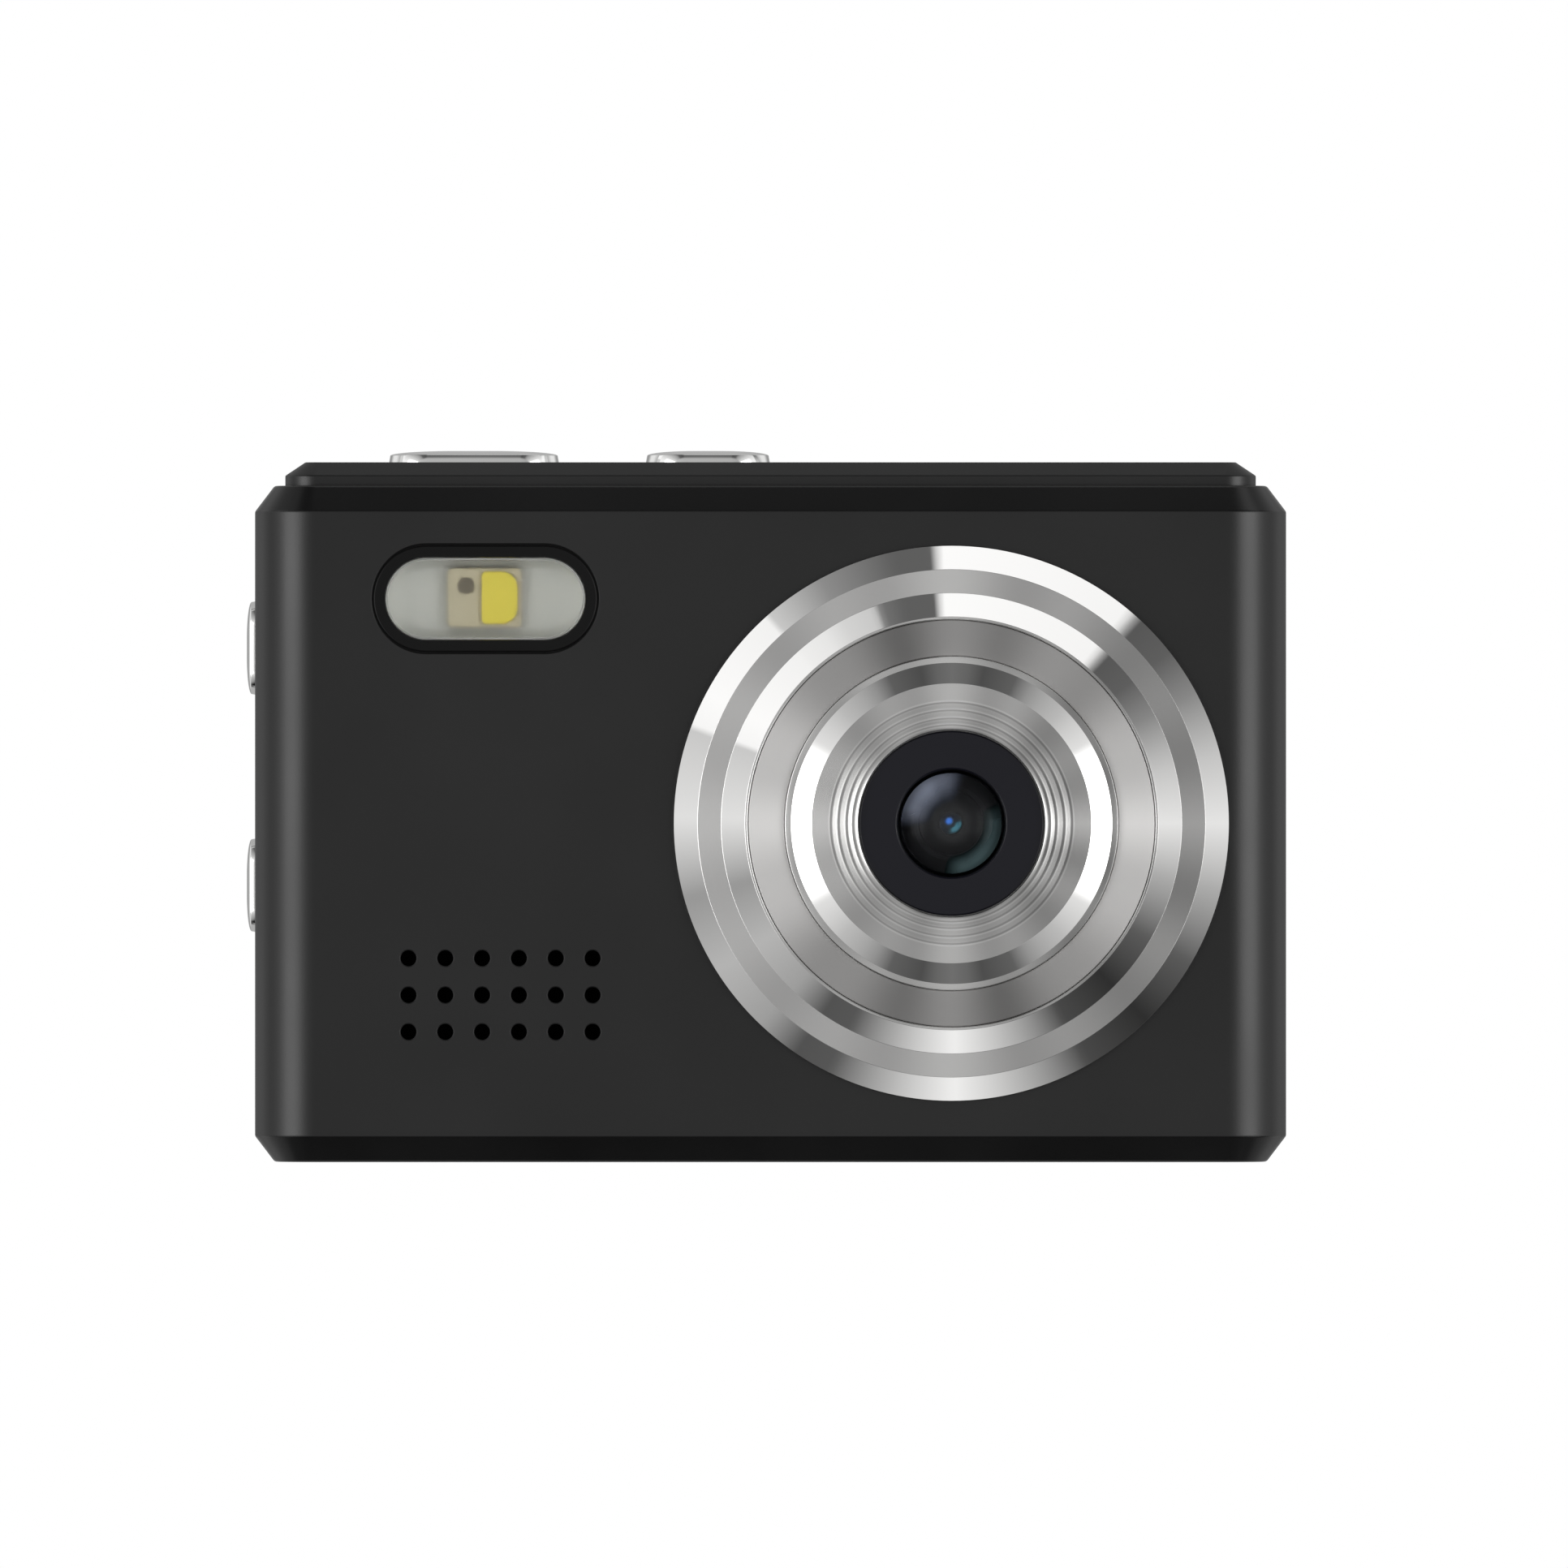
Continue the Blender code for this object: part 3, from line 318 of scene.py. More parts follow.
class Graph:
    """Short ways to make a material's nodes."""

    def __init__(self, tree):
        self.nodes = tree.nodes
        self.links = tree.links

    def add(self, kind, **values):
        node = self.nodes.new("ShaderNode" + kind)
        for key, value in values.items():
            setattr(node, key, value)
        return node

    def feed(self, node, socket, value):
        if isinstance(value, bpy.types.NodeSocket):
            self.links.new(value, node.inputs[socket])
        elif value is not None:
            node.inputs[socket].default_value = value

    def math(self, operation, a, b=None, c=None, clamp=False):
        node = self.add("Math", operation=operation, use_clamp=clamp)
        for index, value in enumerate((a, b, c)):
            self.feed(node, index, value)
        return node.outputs[0]

    def times(self, a, b, more=None, clamp=False):
        """a times b, or that plus more."""
        return self.math("MULTIPLY_ADD" if more is not None else "MULTIPLY", a, b, more, clamp)

    def vector(self, operation, a, b=None):
        node = self.add("VectorMath", operation=operation)
        self.feed(node, 0, a)
        self.feed(node, 1, b)
        return node.outputs["Value"] if operation == "LENGTH" else node.outputs[0]

    def split(self, vector):
        """The three parts of a vector."""
        node = self.add("SeparateXYZ")
        self.feed(node, 0, vector)
        return [node.outputs[index] for index in range(3)]

    def turn(self, x, z):
        """The turn about Y, anticlockwise from +X as seen from the front, as a share of a full turn."""
        angle = self.math("ARCTAN2", z, x)
        return self.math("FRACT", self.times(angle, 0.5 / math.pi, 1.0))

    def smooth(self, value, low, high):
        """0 up to low and 1 from high, with a smooth step between them. High may be the lower one."""
        node = self.add("MapRange", interpolation_type="SMOOTHSTEP")
        for socket, given in enumerate((value, low, high)):
            self.feed(node, socket, given)
        return node.outputs[0]

    def ramp(self, value, stops, interpolation="LINEAR"):
        """Grey levels at places from 0 to 1."""
        node = self.add("ValToRGB")
        node.color_ramp.interpolation = interpolation
        elements = node.color_ramp.elements
        while len(elements) < len(stops):
            elements.new(0.5)
        for element, (position, grey) in zip(elements, stops):
            element.position = position
            element.color = (grey, grey, grey, 1.0)
        self.feed(node, 0, value)
        return node.outputs["Color"]

    def mix(self, factor, a, b):
        node = self.add("Mix", data_type="RGBA")
        self.feed(node, 0, factor)
        for socket, value in ((6, a), (7, b)):
            self.feed(node, socket, (*value, 1.0) if isinstance(value, tuple) else value)
        return node.outputs[2]

    def noise(self, vector, scale, detail=2.0):
        node = self.add("TexNoise")
        self.feed(node, "Vector", vector)
        self.feed(node, "Scale", scale)
        self.feed(node, "Detail", detail)
        return node.outputs["Fac"]

    def bump(self, height, distance):
        node = self.add("Bump")
        self.feed(node, "Height", height)
        self.feed(node, "Distance", distance)
        self.feed(node, "Strength", 1.0)
        return node.outputs["Normal"]

    def choose(self, factor, first, second):
        """A mix of two shaders: the first where the factor is 0, and the second where it is 1."""
        node = self.add("MixShader")
        self.feed(node, 0, factor)
        self.links.new(first.outputs[0], node.inputs[1])
        self.links.new(second.outputs[0], node.inputs[2])
        return node


def principled(name, colour, roughness, **values):
    """A new Principled material with its fixed values, and its graph, shader and object coordinates."""
    made = bpy.data.materials.new(name)
    made.use_nodes = True
    graph = Graph(made.node_tree)
    shader = graph.nodes["Principled BSDF"]
    shader.inputs["Base Color"].default_value = (*colour, 1.0)
    shader.inputs["Roughness"].default_value = roughness
    for key, value in values.items():
        shader.inputs[key.replace("_", " ")].default_value = value
    made.diffuse_color = (*colour, 1.0)
    where = graph.add("TexCoord").outputs["Object"]
    return made, graph, shader, where


def speckled(name, colour, roughness, grain=0.12, depth=0.004, spread=0.06, tint=0.12, **values):
    """Moulded or cast stuff: a fine grain in its surface, and slight changes of colour and gloss.

    grain is the grain's size and depth its height, in millimetres. spread is the change of gloss, and
    tint the change of colour.
    """
    made, graph, shader, where = principled(name, colour, roughness, **values)
    fine = graph.noise(where, 1 / (grain * MM), 3.0)
    broad = graph.noise(where, 1 / (14 * MM), 2.0)
    gloss = graph.times(broad, 2 * spread, roughness - spread)
    graph.feed(shader, "Roughness", graph.times(fine, spread, gloss))
    darker = tuple(c * (1 - tint) for c in colour)
    lighter = tuple(min(1.0, c * (1 + tint)) for c in colour)
    graph.feed(shader, "Base Color", graph.mix(broad, darker, lighter))
    graph.feed(shader, "Normal", graph.bump(fine, depth * MM))
    return made


def distance_from(graph, where, x, z):
    """The distance from a line along Y through (x, z), in millimetres."""
    moved = graph.vector("SUBTRACT", where, (x * MM, 0.0, z * MM))
    return graph.vector("LENGTH", graph.vector("MULTIPLY", moved, (1 / MM, 0.0, 1 / MM)))


def from_lens_axis(graph, where):
    """The distance from the lens axis, in millimetres."""
    return distance_from(graph, where, LENS.x, LENS.z)


def turn_about_lens(graph, where):
    """The turn about the lens axis, as a share of a full turn."""
    x, _, z = graph.split(graph.vector("SUBTRACT", where, (LENS.x * MM, 0.0, LENS.z * MM)))
    return graph.turn(x, z)


# How light the turned metal is round the lens axis, at even steps that start at +X and go
# anticlockwise. The values were set, and FAN_PEAK is more than any of them.
# These are painted highlight: spokes of painted sheen in the turned metal's colour.
FAN_PEAK = 1.4
STEP_PAINTED_SHEEN = (
    0.74, 0.48, 0.63, 0.57, 0.92, 0.86, 1.28, 0.95, 1.04, 0.80, 0.98, 0.83,
    0.98, 0.80, 0.96, 0.80, 0.97, 0.88, 1.24, 0.81, 0.81, 0.55, 0.66, 0.43,
)
FACE_PAINTED_SHEEN = (
    0.60, 0.50, 0.66, 0.63, 0.90, 0.71, 0.99, 0.49, 0.78, 0.71, 0.74, 0.52,
    0.58, 0.52, 0.71, 0.65, 0.80, 0.59, 1.00, 0.50, 0.78, 0.74, 0.70, 0.50,
)


def turned(name, colour, roughness, anisotropy, groove, depth, contrast, painted_sheen, rings=()):
    """Metal turned on a lathe: fine marks round the lens axis, which stretch its highlights, and a
    painted highlight in its colour that grows and fades in spokes round the axis.

    groove and depth are the width and height of the marks, and rings the radii of grooves, each with
    painted shade in it and a painted highlight along its outer edge, in millimetres.
    """
    made, graph, shader, where = principled(
        name, colour, roughness, Metallic=1.0, Anisotropic=anisotropy, Anisotropic_Rotation=0.25
    )
    radius = from_lens_axis(graph, where)
    lines = graph.add("TexNoise", noise_dimensions="1D")
    graph.feed(lines, "W", graph.math("DIVIDE", radius, groove))
    graph.feed(lines, "Detail", 3.0)
    height = lines.outputs["Fac"]
    dark = tuple(c * (1 - contrast) for c in colour)
    light = tuple(min(1.0, c * (1 + contrast)) for c in colour)
    tone = graph.mix(height, dark, light)
    closed = (*painted_sheen, painted_sheen[0])
    stops = [(index / len(painted_sheen), value / FAN_PEAK) for index, value in enumerate(closed)]
    # The ramp below paints highlight into the colour: painted sheen at each turn about the lens axis.
    marks = graph.ramp(turn_about_lens(graph, where), stops, "CARDINAL")
    tone = graph.vector("MULTIPLY", graph.vector("MULTIPLY", tone, (FAN_PEAK,) * 3), marks)
    # Each groove gets painted shade inside it and a painted highlight along its outer edge.
    for ring in rings:
        offset = graph.math("SUBTRACT", radius, ring)
        inside = graph.smooth(graph.math("ABSOLUTE", offset), 0.13, 0.04)
        painted_edge_light = graph.smooth(graph.math("ABSOLUTE", graph.math("ADD", offset, -0.15)), 0.12, 0.03)
        shade = graph.times(inside, -0.30, 1.0)
        shade = graph.times(painted_edge_light, 0.22, shade)
        tone = graph.vector("MULTIPLY", tone, shade)
    graph.feed(shader, "Base Color", tone)
    graph.feed(shader, "Normal", graph.bump(height, depth * MM))
    tangent = graph.add("Tangent", direction_type="RADIAL", axis="Y")
    graph.feed(shader, "Tangent", tangent.outputs[0])
    return made


def plated(name, colour, roughness):
    """Bright plating with a trace of polishing marks."""
    made, graph, shader, where = principled(name, colour, roughness, Metallic=1.0)
    haze = graph.noise(where, 1 / (1.7 * MM), 4.0)
    graph.feed(shader, "Roughness", graph.times(haze, roughness, roughness * 0.6))
    graph.feed(shader, "Normal", graph.bump(graph.noise(where, 1 / (3.5 * MM)), 0.0025 * MM))
    return made


def board_finish():
    """Green solder mask over copper tracks."""
    made, graph, shader, where = principled("circuit_board", (0.01, 0.09, 0.045), 0.35)
    cells = graph.add("TexVoronoi", feature="DISTANCE_TO_EDGE")
    graph.feed(cells, "Vector", where)
    graph.feed(cells, "Scale", 1 / (2.2 * MM))
    track = graph.smooth(cells.outputs["Distance"], 0.04, 0.08)
    graph.feed(shader, "Base Color", graph.mix(track, (0.02, 0.19, 0.09), (0.008, 0.075, 0.038)))
    graph.feed(shader, "Normal", graph.bump(track, -0.03 * MM))
    return made


def screen_finish():
    """Glass over a switched-off screen: the picture area is a shade lighter than its black border."""
    made, graph, shader, where = principled("screen_glass", (0.004, 0.004, 0.005), 0.045, Coat_Weight=0.6)
    border = Vector((1.6, 0, 1.8))
    half = size("lcd_panel") / 2 - border
    x, _, z = graph.split(graph.vector("SUBTRACT", where, tuple(middle("lcd_panel") * MM)))
    inside_x = graph.math("LESS_THAN", graph.math("ABSOLUTE", x), half.x * MM)
    inside_z = graph.math("LESS_THAN", graph.math("ABSOLUTE", z), half.z * MM)
    inside = graph.times(inside_x, inside_z)
    graph.feed(shader, "Base Color", graph.mix(inside, (0.003, 0.003, 0.0035), (0.013, 0.015, 0.019)))
    haze = graph.noise(where, 1 / (9 * MM))
    graph.feed(shader, "Roughness", graph.times(haze, 0.02, 0.03))
    return made


def clear(name, colour, roughness, ior):
    """A see-through stuff with slight ripples."""
    made, graph, shader, where = principled(name, colour, roughness, Transmission_Weight=1.0, IOR=ior)
    graph.feed(shader, "Normal", graph.bump(graph.noise(where, 1 / (6 * MM)), 0.002 * MM))
    return made


def glass_with_painted_reflections():
    """Coated glass, with painted reflections: a blue-grey crescent at the upper left and a teal one at the
    lower right.
    """
    made, graph, shader, where = principled("lens_glass", (0.96, 0.98, 1.0), 0.02, IOR=1.1)
    radius, share = from_lens_axis(graph, where), turn_about_lens(graph, where)
    streaks = graph.times(graph.noise(where, 1 / (2.5 * MM), 2.0), 0.12, 0.9)
    upper_turns = [(0.20, 0.0), (0.29, 0.55), (0.355, 1.0), (0.43, 0.85), (0.52, 0.0)]
    lower_turns = [(0.0, 0.75), (0.03, 0.35), (0.07, 0.0), (0.72, 0.0), (0.80, 0.8), (0.87, 1.0), (1.0, 0.75)]
    # films holds the painted reflections: each tints the glass and lets less light through where it lies.
    films = (
        ((0.27, 0.30, 0.38), (1.6, 4.9), upper_turns),
        ((0.075, 0.118, 0.125), (2.7, 4.3), lower_turns),
    )
    tint = graph.mix(graph.smooth(radius, 1.2, 2.4), (0.96, 0.98, 1.0), (0.5, 0.51, 0.54))
    clearness = 0.988
    for colour, (near, far), turns in films:
        weight = graph.times(graph.smooth(radius, near, far), graph.ramp(share, turns, "EASE"))
        weight = graph.times(weight, streaks, clamp=True)
        tint = graph.mix(graph.smooth(weight, 0.0, 0.03), tint, colour)
        clearness = graph.math("SUBTRACT", clearness, weight)
    graph.feed(shader, "Base Color", tint)
    graph.feed(shader, "Transmission Weight", clearness)
    return made


def bead_with_painted_reflection():
    """The innermost lens, with a painted blue glint near its middle and a painted teal crescent on its lower
    right.
    """
    made, graph, shader, where = principled("bead_painted_reflection", (0, 0, 0), 0.12, Metallic=1.0)
    radius, share = from_lens_axis(graph, where), turn_about_lens(graph, where)
    turns = [(0.0, 0.7), (0.06, 0.0), (0.68, 0.0), (0.82, 1.0), (0.92, 1.0), (1.0, 0.7)]
    crescent = graph.times(graph.smooth(radius, 0.25, 0.6), graph.smooth(radius, 0.98, 0.8))
    crescent = graph.times(crescent, graph.ramp(share, turns, "EASE"))
    base = graph.mix(crescent, (0.012, 0.02, 0.03), (0.12, 0.50, 0.62))
    glint = graph.smooth(distance_from(graph, where, LENS.x - 0.2, LENS.z + 0.22), 0.48, 0.12)
    graph.feed(shader, "Base Color", graph.mix(glint, base, (0.06, 0.30, 1.0)))
    haze = graph.noise(where, 1 / (0.5 * MM))
    graph.feed(shader, "Roughness", graph.times(haze, 0.1, 0.08))
    return made


def blacks():
    """The black plastics and coatings of the camera."""
    return {
        "case": speckled("case_plastic", (0.0045,) * 3, 0.34, Specular_IOR_Level=0.43),
        # The bevels' plastic is glossier than the case's, and darker, which is painted shade.
        "bevel": speckled("case_bevels", (0.003,) * 3, 0.2, depth=0.002, Specular_IOR_Level=0.40),
        "gloss": speckled("gloss_plastic", (0.004, 0.004, 0.0042), 0.10, 0.5, 0.0006, 0.02),
        "flash_black": speckled(
            "flash_bezel_black", (0.001,) * 3, 0.4, 0.1, 0.002, 0.04, 0.1, Specular_IOR_Level=0.17
        ),
        "matt": speckled("matt_plastic", (0.006,) * 3, 0.6, 0.1, 0.006),
        "dark": speckled(
            "dark_mesh", (0.0015,) * 3, 0.9, 0.1, 0.002, 0.04, 0.1, Specular_IOR_Level=0.0
        ),
        "plate": speckled(
            "lens_plate_black", (0.0022, 0.0022, 0.0056), 0.32, 0.2, 0.0008, 0.03, 0.05,
            Specular_IOR_Level=0.32,
        ),
        "tube": speckled(
            "tube_black", (0.003, 0.0035, 0.004), 0.45, 0.1, 0.0002, 0.03, 0.1, Specular_IOR_Level=0.06
        ),
        "stop": speckled(
            "stop_black", (0.003,) * 3, 0.45, 0.1, 0.0002, 0.03, 0.1, Specular_IOR_Level=0.05
        ),
        "card": speckled("card_plastic", (0.02, 0.02, 0.022), 0.42, 0.15, 0.004),
    }


def metals():
    """The bright and the turned metals."""
    return {
        "chrome": plated("plated_bevels", (0.93, 0.925, 0.915), 0.035),
        "button": plated("plated_buttons", (0.90, 0.90, 0.89), 0.07),
        "spun": turned("spun_face", (0.72, 0.71, 0.70), 0.45, 0.85, 0.10, 0.001, 0.10, FACE_PAINTED_SHEEN),
        "satin": turned("satin_step", (0.74, 0.735, 0.725), 0.24, 0.6, 0.20, 0.001, 0.03, STEP_PAINTED_SHEEN),
        "dish": turned(
            "brushed_dish", (0.72, 0.715, 0.705), 0.20, 0.6, 0.22, 0.001, 0.04, STEP_PAINTED_SHEEN, GROOVES
        ),
        "steel": speckled("steel_parts", (0.52, 0.52, 0.53), 0.32, 0.3, 0.002, 0.05, 0.06, Metallic=1.0),
        "brass": speckled("turned_brass", (0.74, 0.52, 0.22), 0.28, 0.3, 0.002, 0.05, 0.08, Metallic=1.0),
    }


def light_stuffs():
    """The glass, the coloured and the light plastics, and the films."""
    return {
        "pane": clear("flash_pane", (0.99, 0.995, 0.975), 0.30, 1.2),
        "glass": glass_with_painted_reflections(),
        "bead": bead_with_painted_reflection(),
        "screen": screen_finish(),
        "board": board_finish(),
        "silicone": speckled("silicone_sheet", (0.5, 0.5, 0.48), 0.6),
        "white": speckled("white_reflector", (0.63, 0.635, 0.61), 0.35, 0.4, 0.004, 0.05, 0.03),
        "led": speckled("led_package_beige", (0.487, 0.437, 0.313), 0.5, 0.3, 0.003, 0.05, 0.06),
        "phosphor": speckled("led_phosphor_yellow", (0.71, 0.595, 0.065), 0.45, 0.3, 0.003, 0.05, 0.08),
        "dot": speckled("led_die_grey", (0.13, 0.11, 0.08), 0.5),
        "wrap": speckled("battery_wrap", (0.02, 0.06, 0.2), 0.35),
        "flex": speckled("flex_film", (0.42, 0.18, 0.03), 0.35),
        "ink": speckled("printed_marks", (0.62, 0.62, 0.62), 0.5, 0.3, 0.001, 0.03, 0.03),
    }


FINISH = {**blacks(), **metals(), **light_stuffs()}


# ---- case


def case_section(inset, steps=CORNER_STEPS):
    """The case's plan outline, set in from the side walls."""
    width, depth = 2 * (SIDE_X - inset), REAR_Y - FRONT_Y - 2 * inset
    return rounded_outline(width, depth, max(CORNER_RADIUS - inset, 0.8), steps=steps)


def case_form(name):
    """The outside of the case, with its creases a little rounded."""
    edge = [(CHAMFER_WIDTH + 2.0, 0.0), (CHAMFER_WIDTH, 0.0), (0.0, CHAMFER_HEIGHT)]
    upper = [(inset, SHOULDER - height) for inset, height in reversed(edge)]
    profile = fillet(edge + upper, CREASE_RADIUS, 4)
    return loft(name, [(z, case_section(inset)) for inset, z in profile], "Z", "case")


def case_cavity():
    """The hollow inside both shells."""
    edge = CHAMFER_WIDTH + 0.75 * WALL
    low = CHAMFER_HEIGHT + 0.5
    heights = ((WALL, edge), (low, WALL), (SHOULDER - low, WALL), (SHOULDER - WALL, edge))
    return loft("cavity", [(z, case_section(inset, 6)) for z, inset in heights], "Z")


def half_case(name, cut_from, cut_to):
    """The hollow case without its part between two places in Y, open for the cover's plug."""
    x, y = PLUG_HALF
    other_half = block("other_half", (-FAR, cut_from, -10), (FAR, cut_to, FAR))
    plug = block("plug", (-x, -y, SHOULDER - 4), (x, y, TOP[1] + 2))
    return carve(case_form(name), case_cavity(), other_half, plug)


def glossy_shaded_bevels(shell):
    """Gives the bevels round the top and the base of the case their smoother finish, darker by painted shade.
    """
    shell.data.materials.append(FINISH["bevel"])
    for face in shell.data.polygons:
        height = face.center.z / MM
        at_end = height < CHAMFER_HEIGHT or height > SHOULDER - CHAMFER_HEIGHT
        if at_end and 0.35 < abs(face.normal.z) < 0.85:
            face.material_index = len(shell.data.materials) - 1
    return shell


def flared(name, outline_at, wall, depth, lip=0.15):
    """A cutter for a hole in a wall, with a rounded mouth. outline_at(grow) gives its outline."""
    axis, outside, way = wall
    clear_by, skin = 2.0, 0.02
    wide = outline_at(lip + skin)
    sections = [(outside - way * clear_by, wide), (outside - way * skin, wide)]
    for angle in quarter_turn():
        grow = lip * (1 - math.sin(angle)) ** 1.5
        sections.append((outside + way * lip * math.sin(angle), outline_at(grow)))
    sections.append((outside + way * depth, outline_at(0.0)))
    return loft(name, sections, axis)


def pill_mouth(width, height, centre):
    return lambda grow: pill(width, height, centre, grow)


def round_mouth(radius, centre, steps):
    return lambda grow: circle(radius + grow, centre, steps)


def box_mouth(width, height, radius, centre, steps):
    return lambda grow: rounded_outline(
        width + 2 * grow, height + 2 * grow, radius + grow, centre, steps
    )


def button_slot(node, wall, depth):
    """The slot that a bright button moves in."""
    axis = wall[0]
    width, height = (extent - BUTTON_FLANGE + BUTTON_GAP for extent in flat(size(node), axis))
    return flared(node + "_slot", pill_mouth(width, height, flat(middle(node), axis)), wall, depth)


def screw_seat(node, wall):
    """A countersunk hole for a screw."""
    axis, outside, way = wall
    steps = (
        (0.0, -2.0), (1.75, -2.0), (1.75, -0.01), (1.65, 0.1), (1.65, 0.25), (1.0, 1.1), (1.0, 6.4),
        (0.0, 6.4),
    )
    profile = [(radius, outside + way * depth) for radius, depth in steps]
    return lathe(node + "_seat", profile, axis, flat(middle(node), axis), steps=48)


def grille_holes():
    holes = []
    for column in range(GRILLE_COLUMNS):
        for row in range(GRILLE_ROWS):
            x = GRILLE.x + (column - (GRILLE_COLUMNS - 1) / 2) * GRILLE_PITCH
            z = GRILLE.z + (row - (GRILLE_ROWS - 1) / 2) * GRILLE_PITCH
            mouth = round_mouth(GRILLE_HOLE_RADIUS, (x, z), 32)
            holes.append(flared(f"hole_{column}_{row}", mouth, FRONT, 3.0, 0.1))
    return holes


def door_holes():
    """The opening for the battery door, and the groove that its pin lies in."""
    low, high = span("battery_door")
    pin = middle("door_hinge_pin")
    gap, depth = 0.2, 1.9
    corner = (high.x + gap, high.y + gap, depth)
    return [
        block("door_hole", (pin.x - 1.9, low.y - gap, -3), corner),
        prism("pin_groove", circle(0.65, (pin.x, pin.z), 24), "Y", low.y - 1.3, high.y + 1.3),
    ]


def front_case():
    """The front shell with its openings."""
    shell = half_case("case_front", PARTING_Y, FAR)
    lens_hole = circle(LENS_HOLE_RADIUS, flat(LENS, "Y"), RING_STEPS)
    carve(
        shell,
        prism("lens_hole", lens_hole, "Y", FRONT_Y - 4, FRONT_Y + 3),
        flared("flash_seat", lambda grow: flash_outline(FLASH_RIM + FLASH_GAP / 2 + grow), FRONT, 0.75, 0.12),
        prism("flash_hole", flash_outline(0.1), "Y", FRONT_Y - 3, FRONT_Y + 3),
        *grille_holes(),
        *(button_slot(node, LEFT, 4) for node in ("side_button_upper", "side_button_lower")),
    )
    width, height = (extent + USB_GAP for extent in flat(size("usb_port"), "X"))
    card_slot = box_mouth(1.8, 12, 0.35, flat(middle("memory_card"), "X"), 4)
    bush_hole = round_mouth(4.55, flat(middle("tripod_bush"), "Z"), 96)
    carve(
        shell,
        flared("usb_hole", pill_mouth(width, height, flat(middle("usb_port"), "X")), RIGHT, 4),
        flared("card_hole", card_slot, RIGHT, 4),
        *door_holes(),
        flared("bush_hole", bush_hole, BASE, 3, 0.12),
        screw_seat("case_screw_3", LEFT),
        screw_seat("case_screw_4", RIGHT),
    )
    use(even_normals(glossy_shaded_bevels(shell)), "case", "front_shell")


def rear_case():
    """The rear shell with the screen's seat, the key holes and the strap pocket."""
    shell = half_case("case_rear", -FAR, REAR_START)
    bar = middle("strap_bar")
    wall_low, wall_high, half = (40.6, 4.3), (45.0, 8.9), 4.2
    lump = block("strap_wall", (*wall_low, bar.z - half), (*wall_high, bar.z + half))
    carve(lump, case_form("trim"), operation="INTERSECT")
    carve(shell, lump, operation="UNION")
    width, height = flat(size("lcd_window"), "Y")
    centre = flat(middle("lcd_window"), "Y")
    pocket = box_mouth(3.6, 5.6, 1.0, (bar.y + 0.1, bar.z), 8)
    seat = box_mouth(width + WINDOW_GAP, height + WINDOW_GAP, 1.65, centre, 8)
    view = rounded_outline(width - 5.6, height - 5.0, 0.8, centre, 4)
    tools = [
        flared("strap_pocket", pocket, RIGHT, 4.1, 0.25),
        prism("strap_hole", circle(0.75, (bar.x, bar.y), 32), "Z", bar.z - 3.6, bar.z + 3.6),
        flared("window_seat", seat, REAR, 1.15, 0.12),
        prism("window_view", view, "Y", REAR_Y - 3, REAR_Y + 3),
    ]
    round_holes = [("nav_ring", 9.8, 96), ("status_light", 1.0, 32)]
    round_holes += [(key, 3.2, 64) for key in ("menu_key", "play_key", "mode_key", "delete_key")]
    for node, radius, steps in round_holes:
        mouth = round_mouth(radius, flat(middle(node), "Y"), steps)
        tools.append(flared(node + "_hole", mouth, REAR, 3))
    tools += [screw_seat(node, BASE) for node in ("case_screw_1", "case_screw_2")]
    carve(shell, *tools)
    use(even_normals(glossy_shaded_bevels(shell)), "case", "rear_shell")


def top_plate():
    """The plate on top of the case, with the button slots and the microphone hole."""
    top = TOP[1]
    inset = SIDE_X - span("top_cover")[1].x
    edge = [(inset, SHOULDER + 0.01), (inset, top - 1.2), (inset + 1.8, top), (inset + 5, top)]
    sections = [(z, case_section(set_in)) for set_in, z in fillet(edge, 0.22, 4)]
    plate = loft("cover_plate_top", sections, "Z", "case")
    microphone = round_mouth(0.5, flat(middle("microphone"), "Z"), 24)
    carve(
        plate,
        button_slot("shutter_button", TOP, 5),
        button_slot("power_button", TOP, 5),
        flared("microphone_hole", microphone, TOP, 5, 0.1),
    )
    use(even_normals(plate), "case", "top_cover")


# ---- lens


def forward(profile):
    """Turns (radius, height in front of the case) into (radius, Y)."""
    return [(radius, FRONT_Y - height) for radius, height in profile]


def lens_part(name, profile, node, slot, *finishes, edge=0.06, steps=RING_STEPS, closed=True):
    rounded = fillet(profile, edge, 3, closed)
    made = lathe(name, forward(rounded), "Y", flat(LENS, "Y"), *finishes, steps=steps)
    return use(even_normals(made), "case", node)


def finish_between(piece, low, high):
    """Gives the forward-facing faces between two radii the second of the piece's finishes."""
    for face in piece.data.polygons:
        spot = face.center / MM
        radius = math.hypot(spot.x - LENS.x, spot.z - LENS.z)
        if low < radius < high and face.normal.y < -0.5:
            face.material_index = 1


def dish_height(radius):
    """How far the dished ring's floor stands in front of the case."""
    (inner, low), (outer, high) = DISH_INNER, DISH_OUTER
    return low + (high - low) * (radius - inner) / (outer - inner)


def outer_ring():
    """The stepped ring: polished bevels with a satin step between them."""
    profile = [
        (24.72, 0.1), (24.72, 0.58), (22.6, 2.7), (20.5, 2.78), (18.38, 4.72), (18.2, 4.72),
        (18.12, 4.64), (18.12, 3.4), (16.0, 3.4), (16.0, -1.9), (20.8, -1.9), (20.8, 0.1),
    ]
    finishes = "chrome", "satin"
    ring = lens_part("ring_outer", profile, "lens_outer_ring", "chrome_plate", *finishes)
    finish_between(ring, 20.42, 22.68)
    finish_between(ring, 18.0, 18.46)


def face_ring():
    """The flat ring with a spun finish."""
    profile = [(18.07, 3.5), (18.07, 4.6), (18.0, 4.68), (14.95, 4.68), (14.88, 4.6), (14.88, 3.5)]
    lens_part("ring_face", profile, "lens_face_ring", "spun_aluminium", "spun", edge=0.04)


